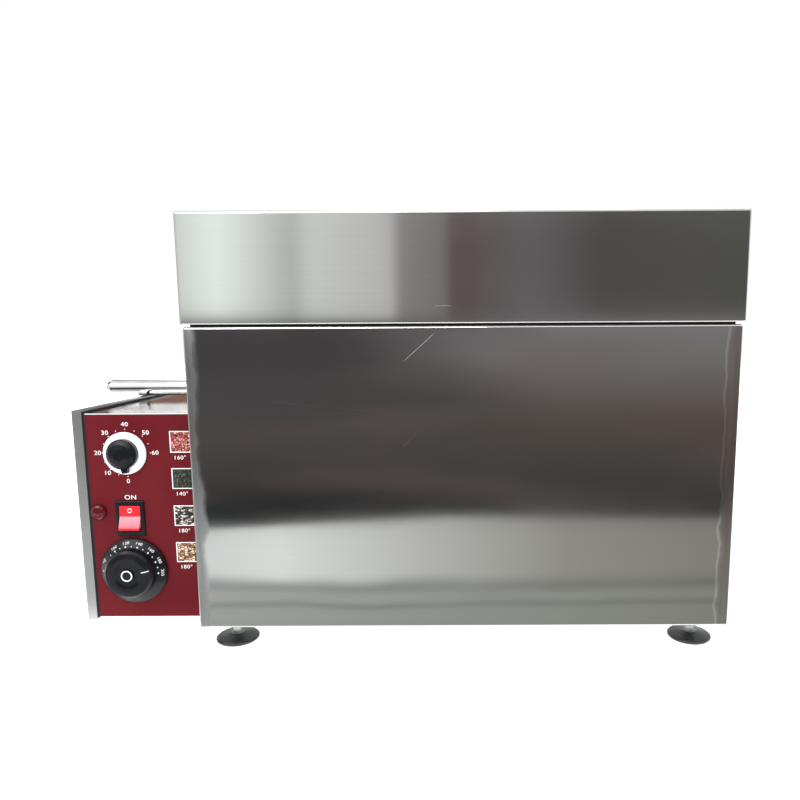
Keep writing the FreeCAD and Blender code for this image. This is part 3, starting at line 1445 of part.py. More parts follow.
def make_lamp():
    lens = Solid("lamp_lens", d.lamp_side, panel_face, d.lamp_height)
    rim = 1.2
    tall = 4.9
    steps = 4
    dome = [(d.lamp_radius * math.cos(math.pi / 2 * step / steps),
             -rim - (tall - rim) * math.sin(math.pi / 2 * step / steps)) for step in range(steps)]
    lens.revolve("XY", [(0, 0), (d.lamp_radius, 0)] + dome + [(0, -tall)], "Y")
    holder = Solid("lamp_holder", d.lamp_side, panel_face, d.lamp_height)
    body = d.lamp_hole - 0.1
    body_end = 20
    neck = 3
    neck_start = 22
    neck_end = 28
    outline = [(0, 0), (body, 0), (body, body_end), (neck, neck_start), (neck, neck_end), (0, neck_end)]
    holder.revolve("XY", outline, "Y")


def make_thermostat():
    thermostat = Solid("thermostat_body", d.dial_side, panel_face + d.casing_sheet, d.dial_height)
    across = d.thermostat_width / 2
    up = d.thermostat_height / 2
    deep = d.thermostat_depth
    thermostat.pad("XZ", [box(-across, -up, across, up)], 0, deep)
    thermostat.pad("XZ", [Circle(0, 0, d.cup_radius)], deep, deep + d.cup_depth)
    bore = d.spindle_radius + d.spindle_play
    thermostat.pocket("XZ", [Circle(0, 0, bore)], -PAST, d.dial_root + d.bore_end)
    make_spindle("thermostat_spindle", d.dial_side, d.dial_height, d.dial_grip, d.dial_root)


def make_dial():
    """The thermostat dial: a sloping skirt for the scale and a round grip with a dished face."""
    dial = Solid("thermostat_dial", d.dial_side, panel_face, d.dial_height)
    deep = d.dial_depth
    room = d.knob_room
    edge = 0.8
    rim = 2.6
    skirt_root = 7.8
    shoulder = 3
    face_radius = 15.5
    dish_radius = 12.5
    floor_radius = 9.5
    cap_radius = 5.6
    dial.revolve("XY", [
        (0, -room),
        (d.dial_radius - edge, -room),
        (d.dial_radius, -room - edge),
        (d.dial_radius, -rim),
        (d.dial_radius - edge, -rim - edge),
        (d.hub_base_radius, -skirt_root),
        (d.hub_face_radius + 2, shoulder - deep),
        (d.hub_face_radius, 1 - deep),
        (face_radius, -deep),
        (dish_radius, -deep),
        (floor_radius, edge - deep),
        (cap_radius, edge - deep),
        (cap_radius, -deep - edge),
        (0, -deep - edge),
    ], "Y")
    dial.pocket("XZ", [Circle(0, 0, d.spindle_radius)], -d.dial_grip, 0)


def make_capillary():
    """The thermostat's capillary, from the bulb through the wall and down to its body."""
    height = number(d.bulb_height)
    plane = number(drum_plane)
    wall = -number(half_width)
    body_side = number(d.dial_side + d.thermostat_width / 2)
    entry_y = number(panel_face) + 12
    entry_z = number(d.dial_height) - 4
    lead = 14
    points = [
        Vector(number(d.cradle_place - d.bulb_lead), plane, height),
        Vector(wall - 18, plane, height),
        Vector(wall - 24, plane - 40, height - 5),
        Vector(wall - 26, plane - 95, height - 5),
        Vector(body_side + lead, entry_y, entry_z),
        Vector(body_side, entry_y, entry_z),
    ]
    # Each bend takes this share of its shorter run
    bend_share = 0.45
    edges = []
    start = points[0]
    for before, corner, after in zip(points, points[1:], points[2:]):
        run = bend_share * min((corner - before).Length, (after - corner).Length)
        arrive = corner + (before - corner).normalize() * run
        leave = corner + (after - corner).normalize() * run
        turn = (corner - before).getAngle(after - corner)
        bend = run / math.tan(turn / 2)
        centre_way = (arrive + leave) * 0.5 - corner
        centre = corner + centre_way.normalize() * math.hypot(run, bend)
        middle = centre + (corner - centre).normalize() * bend
        edges.append(Part.LineSegment(start, arrive).toShape())
        edges.append(Part.Arc(arrive, middle, leave).toShape())
        start = leave
    edges.append(Part.LineSegment(start, points[-1]).toShape())
    path = Part.Wire(edges)
    radius = number(d.capillary_radius)
    ring = Part.Wire(Part.makeCircle(radius, points[0], points[1] - points[0]))
    tube = path.makePipeShell([ring], True, False)
    part_feature("capillary_tube", tube)


def make_all():
    make_outer_casing()
    make_base_plate()
    make_inner_liner()
    make_wall_insulation()
    make_floor_insulation()
    make_rim_frame()
    make_notch_liners()
    make_shaft_saddles()
    make_foot_bushes()
    make_lock_nuts()
    for name, (x, y) in zip(("front_left", "front_right", "rear_left", "rear_right"), foot_places):
        make_foot("foot_" + name, x, y)
    make_drum_shell()
    make_drum_end("drum_end_left", end_left, -1)
    make_drum_end("drum_end_right", end_right, 1)
    make_shaft_rod()
    make_shaft_stub()
    make_mixing_flights()
    make_hatch_door()
    make_hatch_rails()
    make_ring_gear()
    make_gear_spacers()
    make_pinion()
    make_drive_shaft()
    make_drive_sleeve()
    make_gearbox()
    make_motor()
    make_heater_tubes()
    make_heater_terminals()
    make_heater_cradle()
    make_sensor_bulb()
    make_capillary()
    make_lid_shell()
    make_lid_liner()
    make_lid_insulation()
    make_lid_gasket()
    make_body_leaves()
    make_lid_leaves()
    make_hinge_pins()
    make_side_cover()
    make_control_frame()
    make_front_panel()
    make_bottom_plate()
    make_back_cover()
    make_cable_gland()
    make_cover_screws()
    make_terminal_block()
    make_timer()
    make_timer_knob()
    make_switch()
    make_rocker()
    make_lamp()
    make_thermostat()
    make_dial()


def check_model():
    """Stop at anything that failed to compute or has no sound shape."""
    for thing in doc.Objects:
        if "Invalid" in thing.State or "Error" in thing.State:
            raise ValueError(f"{thing.Label} did not compute")
    for part in subparts:
        if part.Shape.isNull() or not part.Shape.isValid() or not part.Shape.Solids:
            raise ValueError(f"{part.Label} has no sound shape")


def write_steps():
    os.makedirs("parts", exist_ok=True)
    for part in subparts:
        part.Shape.exportStep(f"parts/{part.Label}.step")


make_all()
doc.recompute()
check_model()
write_steps()
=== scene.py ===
import json
import math

import bmesh
import bpy
from mathutils import Matrix, Vector


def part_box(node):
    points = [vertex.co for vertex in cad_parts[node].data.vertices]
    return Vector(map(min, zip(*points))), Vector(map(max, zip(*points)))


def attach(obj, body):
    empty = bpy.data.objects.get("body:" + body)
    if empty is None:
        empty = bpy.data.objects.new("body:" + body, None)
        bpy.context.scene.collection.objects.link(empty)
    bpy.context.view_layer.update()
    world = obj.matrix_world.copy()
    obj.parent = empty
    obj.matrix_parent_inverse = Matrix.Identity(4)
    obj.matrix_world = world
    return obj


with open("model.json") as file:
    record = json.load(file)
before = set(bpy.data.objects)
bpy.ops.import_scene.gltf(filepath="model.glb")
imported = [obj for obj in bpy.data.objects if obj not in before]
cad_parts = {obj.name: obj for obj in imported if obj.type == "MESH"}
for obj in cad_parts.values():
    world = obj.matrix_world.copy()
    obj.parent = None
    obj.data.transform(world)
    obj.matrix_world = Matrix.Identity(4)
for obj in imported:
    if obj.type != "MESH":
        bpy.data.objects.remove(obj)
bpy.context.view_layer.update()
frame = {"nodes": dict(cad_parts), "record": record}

MM = 0.001

# The casing's own frame: X from its middle, Y from its front face, Z from its underside
casing_low, casing_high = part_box("outer_casing")
CASING_X = (casing_low.x + casing_high.x) / 2
CASING_Y = casing_low.y
CASING_Z = casing_low.z

# Sizes that the pieces here share, in millimetres of the casing's frame
CASING_WIDTH = 460.0
CASING_HEIGHT = 260.0
# The band along the top of the casing's rim that is painted as a highlight
RIM_HIGHLIGHT_BAND = 1.9
PANEL_FACE = 25.5
PRINT_TOP = 184.6
SCALE_CENTRE = (-295.2, 151.0)
DIAL = (-294.7, 44.4)
SWITCH = (-295.3, 92.0)
ROCKER_HALF = 11.7
FOOT_PAD = 5.8

# The ground weld bands: their width from the corner, the fade of their edge and the seam along it
WELD_LEAST = 10.0
WELD_MOST = 14.0
WELD_FADE = 5.0
WELD_SEAM = 1.6


def place(x, y, z):
    """A point of the casing's frame, in metres of the part's frame."""
    return Vector((CASING_X + x * MM, CASING_Y + y * MM, CASING_Z + z * MM))


# Materials
class Shade:
    """A procedural material: one principled shader and the nodes that feed it."""

    def __init__(self, name, color, roughness, metallic=0.0):
        self.material = bpy.data.materials.new(name)
        self.material.use_nodes = True
        self.tree = self.material.node_tree
        self.shader = self.tree.nodes["Principled BSDF"]
        self.set("Base Color", (*color, 1.0))
        self.set("Roughness", roughness)
        self.set("Metallic", metallic)
        self.position = self.tree.nodes.new("ShaderNodeTexCoord").outputs["Object"]

    def set(self, socket, value):
        self.shader.inputs[socket].default_value = value

    def drive(self, socket, output):
        self.tree.links.new(output, self.shader.inputs[socket])

    def driven_by(self, socket):
        return self.shader.inputs[socket].links[0].from_socket

    def feed(self, socket, value):
        """Give a node's input a value, a colour or another node's output."""
        if isinstance(value, bpy.types.NodeSocket):
            self.tree.links.new(value, socket)
        elif socket.type == "RGBA":
            socket.default_value = (*value, 1.0)
        else:
            socket.default_value = value

    def node(self, kind, inputs=(), **settings):
        node = self.tree.nodes.new("ShaderNode" + kind)
        for name, value in settings.items():
            setattr(node, name, value)
        for name, value in dict(inputs).items():
            self.feed(node.inputs[name], value)
        return node

    def stretched(self, scale, offset=(0, 0, 0)):
        mapping = self.node("Mapping", {"Vector": self.position, "Scale": scale, "Location": offset})
        return mapping.outputs["Vector"]

    def noise(self, scale, size=1.0, detail=3.0, roughness=0.5, offset=(0, 0, 0)):
        """Noise over the object, with a scale for each axis."""
        inputs = {"Vector": self.stretched(scale, offset), "Scale": size, "Detail": detail,
                  "Roughness": roughness}
        return self.node("TexNoise", inputs).outputs["Fac"]

    def spread(self, value, low, high, start=0.0, end=1.0):
        """Map a value from one range to another, clamped."""
        inputs = {"Value": value, "From Min": start, "From Max": end, "To Min": low, "To Max": high}
        return self.node("MapRange", inputs).outputs["Result"]

    def math(self, operation, first, second=0.0):
        node = self.node("Math", {0: first, 1: second}, operation=operation)
        return node.outputs["Value"]

    def ramp(self, value, stops):
        """Colours along a value, as (place, colour) pairs."""
        node = self.node("ValToRGB", {"Fac": value})
        elements = node.color_ramp.elements
        while len(elements) < len(stops):
            elements.new(0.5)
        for element, (place_along, color) in zip(elements, stops):
            element.position = place_along
            element.color = (*color, 1.0)
        return node.outputs["Color"]

    def blend(self, amount, first, second, blend_type="MIX"):
        """Mix two colours; each is a socket or a colour."""
        node = self.node("Mix", {"Factor": amount}, data_type="RGBA", blend_type=blend_type)
        colors = [socket for socket in node.inputs if socket.type == "RGBA"]
        self.feed(colors[0], first)
        self.feed(colors[1], second)
        return [socket for socket in node.outputs if socket.type == "RGBA"][0]

    def bump(self, height, strength, distance=MM):
        inputs = {"Height": height, "Strength": strength, "Distance": distance}
        if self.shader.inputs["Normal"].links:
            inputs["Normal"] = self.driven_by("Normal")
        self.drive("Normal", self.node("Bump", inputs).outputs["Normal"])

    def axis(self, name):
        parts = self.node("SeparateXYZ", {"Vector": self.position})
        return parts.outputs[name]


def brushed(name, color, roughness, along=0, smear=0.05, anisotropy=0.35):
    """Stainless sheet with its grain along one axis and faint smears."""
    shade = Shade(name, color, roughness, 1.0)
    grain_scale = [700.0, 700.0, 700.0]
    grain_scale[along] = 6.0
    grain = shade.noise(grain_scale, detail=2.0)
    cloud = shade.noise((4.0, 4.0, 9.0), detail=5.0, roughness=0.6)
    shade.drive("Roughness", shade.spread(cloud, roughness - smear, roughness + smear, 0.3, 0.7))
    tone = shade.math("MULTIPLY", shade.spread(grain, 0.985, 1.01, 0.3, 0.7),
                      shade.spread(cloud, 0.975, 1.01, 0.3, 0.7))
    shade.drive("Base Color", shade.blend(tone, (0.0, 0.0, 0.0), color))
    if anisotropy:
        shade.set("Anisotropic", anisotropy)
        shade.set("Anisotropic Rotation", 0.25)
        tangent = shade.node("Tangent", direction_type="RADIAL", axis="Z")
        shade.drive("Tangent", tangent.outputs["Tangent"])
    return shade


def add_welds(shade):
    """Ground weld bands down the front corners of the casing, duller, with a soft ragged edge."""
    edge = CASING_WIDTH / 2 * MM
    ragged = shade.noise((26.0, 1.0, 34.0), detail=2.0)
    reach = shade.spread(ragged, WELD_LEAST * MM, WELD_MOST * MM, 0.3, 0.7)
    from_middle = shade.math("SUBTRACT", shade.axis("X"), CASING_X)
    depth = shade.math("SUBTRACT", edge, shade.math("ABSOLUTE", from_middle))
    inside = shade.math("DIVIDE", shade.math("SUBTRACT", reach, depth), WELD_FADE * MM)
    band = shade.spread(inside, 0.0, 1.0)
    right = shade.spread(from_middle, 0.0, 1.0, -MM, MM)

    marks = shade.noise((60.0, 60.0, 14.0), detail=3.0)
    rough = shade.blend(right, (0.33, 0.33, 0.33), (0.24, 0.24, 0.24))
    rough = shade.math("ADD", rough, shade.spread(marks, -0.05, 0.05, 0.3, 0.7))
    outside = shade.math("SUBTRACT", 1.0, band)
    plain = shade.math("MULTIPLY", outside, shade.driven_by("Roughness"))
    shade.drive("Roughness", shade.math("ADD", shade.math("MULTIPLY", band, rough), plain))

    streaks = shade.spread(shade.noise((240.0, 60.0, 9.0), detail=3.0), 0.0, 1.0, 0.3, 0.7)
    left_tone = shade.blend(streaks, (0.42, 0.42, 0.43), (0.56, 0.56, 0.57))
    right_tone = shade.blend(streaks, (0.40, 0.37, 0.35), (0.52, 0.50, 0.47))
    ground = shade.blend(right, left_tone, right_tone)
    from_edge = shade.math("ABSOLUTE", shade.math("SUBTRACT", reach, depth))
    seam = shade.math("MULTIPLY", shade.spread(from_edge, 1.0, 0.0, 0.0, WELD_SEAM * MM), right)
    color = shade.blend(band, shade.driven_by("Base Color"), ground)
    shade.drive("Base Color", shade.blend(seam, color, (0.85, 0.84, 0.82)))


def paint_rim_highlight(shade, height):
    """Painted highlight: the top of the rounded rim is painted near white for the light its bend
    catches.
    """
    rim = shade.spread(shade.axis("Z"), 0.0, 1.0, place(0, 0, height).z, place(0, 0, height + 0.3).z)
    color = shade.driven_by("Base Color")
    shade.drive("Base Color", shade.blend(rim, color, (0.97, 0.97, 0.97)))


def add_scratches(shade, scratches):
    """Fine pale scratches on the front, each from one point of the casing's X and Z to another."""
    across, up = shade.axis("X"), shade.axis("Z")
    total = None
    for (x0, z0), (x1, z1), width, strength in scratches:
        start, end = place(x0, 0, z0), place(x1, 0, z1)
        length = math.hypot(end.x - start.x, end.z - start.z)
        way_x, way_z = (end.x - start.x) / length, (end.z - start.z) / length
        from_x = shade.math("SUBTRACT", across, start.x)
        from_z = shade.math("SUBTRACT", up, start.z)
        along = shade.math("ADD", shade.math("MULTIPLY", from_x, way_x),
                           shade.math("MULTIPLY", from_z, way_z))
        aside = shade.math("SUBTRACT", shade.math("MULTIPLY", from_x, way_z),
                           shade.math("MULTIPLY", from_z, way_x))
        near = shade.spread(shade.math("ABSOLUTE", aside), strength, 0.0, 0.0, width * MM)
        from_centre = shade.math("ABSOLUTE", shade.math("SUBTRACT", along, length / 2))
        within = shade.spread(from_centre, 1.0, 0.0, length * 0.35, length * 0.5)
        mark = shade.math("MULTIPLY", near, within)
        total = mark if total is None else shade.math("MAXIMUM", total, mark)
    rough = shade.driven_by("Roughness")
    shade.drive("Roughness", shade.math("MAXIMUM", rough, shade.math("MULTIPLY", total, 0.75)))
    color = shade.driven_by("Base Color")
    shade.drive("Base Color", shade.blend(total, color, (0.9, 0.9, 0.9)))


def plated(name, color, roughness):
    """Zinc, chrome or machined metal with fine wear."""
    shade = Shade(name, color, roughness, 1.0)
    cloud = shade.noise((60.0, 60.0, 60.0), detail=4.0)
    shade.drive("Roughness", shade.spread(cloud, roughness * 0.7, roughness * 1.5, 0.3, 0.7))
    dark = tuple(channel * 0.8 for channel in color)
    shade.drive("Base Color", shade.ramp(cloud, [(0.3, dark), (0.65, color)]))
    return shade


def moulded(name, color, roughness, grain=0.04, shine=0.5):
    """Moulded plastic or rubber with a fine skin."""
    shade = Shade(name, color, roughness)
    shade.set("Specular IOR Level", shine)
    skin = shade.noise((1600.0, 1600.0, 1600.0), detail=2.0)
    cloud = shade.noise((40.0, 40.0, 40.0), detail=4.0)
    shade.drive("Roughness", shade.spread(cloud, roughness * 0.8, roughness * 1.3, 0.3, 0.7))
    pale = tuple(min(1.0, channel * 1.25 + 0.003) for channel in color)
    shade.drive("Base Color", shade.ramp(cloud, [(0.35, color), (0.75, pale)]))
    shade.bump(skin, grain, 0.0003)
    return shade


def rocker_with_painted_reflection(name):
    """Translucent red; below the fold it is painted pink, a painted reflection of the light above, and
    darker towards the bottom.
    """
    shade = moulded(name, (0.60, 0.010, 0.020), 0.22)
    bottom = place(0, 0, SWITCH[1] - ROCKER_HALF).z
    top = place(0, 0, SWITCH[1] + ROCKER_HALF).z
    share = shade.spread(shade.axis("Z"), 0.0, 1.0, bottom, top)
    # Painted reflection: pink from 0.20 to 0.56 of the height, below the fold
    shade.drive("Base Color", shade.ramp(share, [
        (0.0, (0.30, 0.004, 0.008)), (0.14, (0.50, 0.010, 0.020)), (0.20, (0.90, 0.16, 0.20)),
        (0.56, (0.95, 0.30, 0.34)), (0.60, (0.72, 0.012, 0.022)), (1.0, (0.80, 0.014, 0.026))]))
    return shade


def foot_shade(name):
    """Black moulded pad; above it the stud is zinc plated."""
    shade = moulded(name, (0.010, 0.013, 0.014), 0.30)
    bare = shade.spread(shade.axis("Z"), 0.0, 1.0, (FOOT_PAD - 0.05) * MM, (FOOT_PAD + 0.05) * MM)
    black = shade.driven_by("Base Color")
    shade.drive("Base Color", shade.blend(bare, black, (0.50, 0.52, 0.49)))
    shade.drive("Metallic", bare)
    return shade


def printed_panel(name):
    """A red print over the panel's front; its bend and its return along the top stay bare steel."""
    shade = Shade(name, (0.12, 0.007, 0.010), 0.4)
    shade.set("Specular IOR Level", 0.12)
    cloud = shade.noise((14.0, 14.0, 14.0), detail=3.0)
    fine = shade.noise((1100.0, 1100.0, 1100.0), detail=2.0)
    red = shade.ramp(cloud, [(0.30, (0.108, 0.005, 0.009)), (0.70, (0.132, 0.008, 0.012))])
    front = shade.spread(shade.axis("Y"), 1.0, 0.0, place(0, PANEL_FACE + 0.25, 0).y,
                         place(0, PANEL_FACE + 0.35, 0).y)
    below = shade.spread(shade.axis("Z"), 1.0, 0.0, place(0, 0, PRINT_TOP).z,
                         place(0, 0, PRINT_TOP + 0.1).z)
    print_mask = shade.math("MULTIPLY", front, below)
    shade.drive("Base Color", shade.blend(print_mask, (0.60, 0.59, 0.58), red))
    shade.drive("Metallic", shade.math("SUBTRACT", 1.0, print_mask))
    printed = shade.spread(cloud, 0.34, 0.46, 0.3, 0.7)
    shade.drive("Roughness", shade.blend(print_mask, (0.14, 0.14, 0.14), printed))
    shade.bump(fine, 0.03, 0.0002)
    return shade


shades = {
    "brushed_steel": brushed("brushed_steel", (0.58, 0.58, 0.565), 0.10, smear=0.03),
    "plain_steel": brushed("plain_steel", (0.58, 0.58, 0.57), 0.32),
    "chamber_steel": brushed("chamber_steel", (0.50, 0.45, 0.37), 0.38, anisotropy=0.0),
    "control_steel": brushed("control_steel", (0.62, 0.62, 0.62), 0.42, along=1, anisotropy=0.0),
    "drum_steel": brushed("drum_steel", (0.52, 0.48, 0.42), 0.34, anisotropy=0.0),
    "dark_steel": moulded("dark_steel", (0.012, 0.012, 0.013), 0.6),
    "polished_steel": plated("polished_steel", (0.78, 0.78, 0.78), 0.10),
    "gear_steel": plated("gear_steel", (0.36, 0.36, 0.37), 0.38),
    "zinc_steel": plated("zinc_steel", (0.66, 0.66, 0.64), 0.28),
    "bronze": plated("bronze", (0.56, 0.36, 0.15), 0.32),
    "copper": plated("copper", (0.72, 0.40, 0.26), 0.30),
    "heater_sheath": plated("heater_sheath", (0.13, 0.12, 0.11), 0.55),
    "ceramic": moulded("ceramic", (0.80, 0.78, 0.72), 0.25),
    "mineral_wool": moulded("mineral_wool", (0.74, 0.68, 0.50), 0.95, 0.6),
    "cast_alloy": plated("cast_alloy", (0.55, 0.56, 0.57), 0.45),
    "motor_enamel": moulded("motor_enamel", (0.035, 0.038, 0.045), 0.4),
    "red_panel": printed_panel("red_panel"),
    "black_plastic": moulded("black_plastic", (0.006, 0.007, 0.009), 0.24, shine=0.28),
    "white_plastic": moulded("white_plastic", (0.80, 0.83, 0.84), 0.32),
    "rocker_red": rocker_with_painted_reflection("rocker_red"),
    "lamp_red": moulded("lamp_red", (0.075, 0.003, 0.006), 0.10),
    "black_rubber": moulded("black_rubber", (0.012, 0.012, 0.012), 0.7),
    "foot_black": foot_shade("foot_black"),
    "print_white": moulded("print_white", (0.86, 0.84, 0.84), 0.5),
}

node_slots = {entry["node"]: entry["material_slot"] for entry in frame["record"]["subparts"]}


def dress(thing, shade):
    thing.data.materials.clear()
    thing.data.materials.append(shade.material)


for name, thing in frame["nodes"].items():
    dress(thing, shades[node_slots[name]])

casing_steel = brushed("casing_steel", (0.58, 0.58, 0.565), 0.10, smear=0.03)
add_welds(casing_steel)
# Painted highlight along the top of the casing's rim
paint_rim_highlight(casing_steel, CASING_HEIGHT - RIM_HIGHLIGHT_BAND)
# Each scratch: from, to, half width and strength
add_scratches(casing_steel, [
    ((-21, 256), (-51, 229), 0.35, 0.8),
    ((-175, 200), (-40, 186), 0.2, 0.35),
    ((-38, 172), (-52, 158), 0.2, 0.4),
    ((92, 105), (103, 82), 0.25, 0.35),
])
dress(frame["nodes"]["outer_casing"], casing_steel)

lid_steel = brushed("lid_steel", (0.58, 0.58, 0.565), 0.12, smear=0.03)
add_scratches(lid_steel, [((-24, 276), (-8, 276), 0.3, 0.6), ((-30, 300), (-20, 299), 0.25, 0.3)])
# The lid leans back a little, so it mirrors higher up than the casing does; its slope
LID_LEAN = 0.026
lid_steel.bump(lid_steel.math("MULTIPLY", lid_steel.axis("Z"), -1.0), 1.0, LID_LEAN)
dress(frame["nodes"]["lid_shell"], lid_steel)

box_steel = brushed("box_steel", (0.60, 0.59, 0.58), 0.14, along=1, anisotropy=0.0)
dress(frame["nodes"]["control_back_cover"], box_steel)


# Printed pieces, all in millimetres of the casing's frame
PRINT_THICKNESS = 0.08
PRINT_GAP = 0.01

# The font: a capital's share of its size, the room between letters and how far they are widened
CAPITAL_SHARE = 0.72
LETTER_SPACE = 1.08
LETTER_WIDEN = 1.15


def mesh_piece(name, mesh, body, shade):
    piece = bpy.data.objects.new(name, mesh)
    bpy.context.scene.collection.objects.link(piece)
    dress(piece, shade)
    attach(piece, body)


def white_print(name, parts, body):
    mesh_piece(name, joined(parts), body, shades["print_white"])


def text_mesh(words, height):
    """Raised figures in the XY plane, in metres; height is that of a capital, in millimetres."""
    curve = bpy.data.curves.new("words", "FONT")
    curve.body = words
    curve.align_x = "CENTER"
    curve.align_y = "CENTER"
    curve.size = height * MM / CAPITAL_SHARE
    curve.extrude = PRINT_THICKNESS / 2 * MM
    curve.space_character = LETTER_SPACE
    holder = bpy.data.objects.new("words", curve)
    bpy.context.scene.collection.objects.link(holder)
    mesh = bpy.data.meshes.new_from_object(holder)
    bpy.data.objects.remove(holder)
    mesh.transform(Matrix.Diagonal((LETTER_WIDEN, 1.0, 1.0, 1.0)))
    return mesh


def disc_mesh(radius, inner=0.0, count=32):
    """A thin round dot or ring in the XY plane, in metres; the radii are in millimetres."""
    mesh = bpy.data.meshes.new("disc")
    work = bmesh.new()
    half = PRINT_THICKNESS / 2 * MM
    rings = []
    for z, size in ((-half, radius), (half, radius), (half, inner), (-half, inner)):
        if size == 0.0:
            rings.append([work.verts.new((0, 0, z))])
            continue
        rings.append([work.verts.new((size * MM * math.cos(2 * math.pi * step / count),
                                      size * MM * math.sin(2 * math.pi * step / count), z))
                      for step in range(count)])
    for first, second in zip(rings, rings[1:] + rings[:1]):
        for step in range(count):
            following = (step + 1) % count
            corners = [first[step % len(first)], first[following % len(first)],
                       second[following % len(second)], second[step % len(second)]]
            corners = list(dict.fromkeys(corners))
            if len(corners) > 2:
                work.faces.new(corners)
    bmesh.ops.recalc_face_normals(work, faces=work.faces)
    work.to_mesh(mesh)
    work.free()
    return mesh


def plate_mesh(width, height, thickness=PRINT_THICKNESS, inner_width=0.0, inner_height=0.0):
    """A thin rectangular plate, or a frame round an opening, in the XY plane, in millimetres."""
    mesh = bpy.data.meshes.new("plate")
    work = bmesh.new()
    half = thickness / 2 * MM

    def ring(wide, high, z):
        return [work.verts.new((x * wide / 2 * MM, y * high / 2 * MM, z))
                for x, y in ((-1, -1), (1, -1), (1, 1), (-1, 1))]

    if inner_width:
        rings = [ring(width, height, -half), ring(width, height, half),
                 ring(inner_width, inner_height, half), ring(inner_width, inner_height, -half)]
        pairs = list(zip(rings, rings[1:] + rings[:1]))
    else:
        rings = [ring(width, height, -half), ring(width, height, half)]
        pairs = [(rings[0], rings[1])]
        work.faces.new(rings[0])
        work.faces.new(rings[1])
    for first, second in pairs:
        for step in range(4):
            following = (step + 1) % 4
            work.faces.new([first[step], first[following], second[following], second[step]])
    bmesh.ops.recalc_face_normals(work, faces=work.faces)
    work.to_mesh(mesh)
    work.free()
    return mesh


def joined(parts):
    """One mesh from several, each given with the matrix that places it."""
    work = bmesh.new()
    for mesh, matrix in parts:
        mesh.transform(matrix)
        work.from_mesh(mesh)
        bpy.data.meshes.remove(mesh)
    result = bpy.data.meshes.new("print")
    work.to_mesh(result)
    work.free()
    return result


def upright(x, y, z, lean=0.0):
    """The matrix that stands an XY print up, facing the front, its middle at a casing point."""
    return Matrix.Translation(place(x, y, z)) @ Matrix.Rotation(math.radians(90 - lean), 4, "X")


def on_panel(x, z):
    """The matrix that lays a print on the red panel."""
    return upright(x, PANEL_FACE - PRINT_THICKNESS / 2 - PRINT_GAP, z)


def round_the(centre, radius, degrees):
    angle = math.radians(degrees)
    return centre[0] + radius * math.cos(angle), centre[1] + radius * math.sin(angle)


# Timer scale: 0 at the bottom, then 10 for every 45 degrees clockwise, with dots half way between
NUMBER_RADIUS = 25.3
NUMBER_HEIGHT = 3.8
NUMBER_STEP = 45
NUMBER_COUNT = 7
DOT_CIRCLE = 21.07
DOT_RADIUS = 0.42
timer_print = []
for step in range(NUMBER_COUNT):
    x, z = round_the(SCALE_CENTRE, NUMBER_RADIUS, -90 - NUMBER_STEP * step)
    timer_print.append((text_mesh(str(10 * step), NUMBER_HEIGHT), on_panel(x, z)))
for step in range(2 * NUMBER_COUNT - 1):
    x, z = round_the(SCALE_CENTRE, DOT_CIRCLE, -90 - NUMBER_STEP / 2 * step)
    timer_print.append((disc_mesh(DOT_RADIUS, count=12), on_panel(x, z)))
white_print("timer_scale", timer_print, "casing")

# The word over the switch
ON_PLACE = (-294.4, 110.9)
ON_HEIGHT = 4.1
white_print("switch_word", [(text_mesh("ON", ON_HEIGHT), on_panel(*ON_PLACE))], "casing")

# The swatches and their temperatures, top to bottom
SWATCH_HEIGHTS = ((170.2, 151.1), (137.2, 118.6), (103.5, 84.9), (69.8, 51.4))
SWATCH_LEFT, SWATCH_RIGHT = -256.6, -230.4
SWATCH_FRAME = 0.8
SWATCH_LABELS = ("160\u00b0", "140\u00b0", "180\u00b0", "180\u00b0")
LABEL_HEIGHT = 3.5
LABEL_SHIFT = 8.2
LABEL_DROP = 4.6


def seed_shade(name, size, stretch, ground, seed_colors, gap):
    """Generic heaped seeds: cells of two colours with dark gaps between them."""
    shade = Shade(name, ground, 0.45)
    bend = shade.noise((90.0, 90.0, 90.0), detail=2.0)
    spot = shade.stretched((size, size, size * stretch))
    moved = shade.node("VectorMath", {0: spot, 1: bend}, operation="ADD").outputs["Vector"]
    cells = shade.node("TexVoronoi", {"Vector": moved, "Scale": 1.0})
    rim = shade.node("TexVoronoi", {"Vector": moved, "Scale": 1.0}, feature="DISTANCE_TO_EDGE")
    pick = shade.node("SeparateColor", {"Color": cells.outputs["Color"]}).outputs["Red"]
    seeds = shade.ramp(pick, seed_colors)
    inside = shade.spread(rim.outputs["Distance"], 0.0, 1.0, gap * 0.5, gap)
    shade.drive("Base Color", shade.blend(inside, ground, seeds))
    return shade


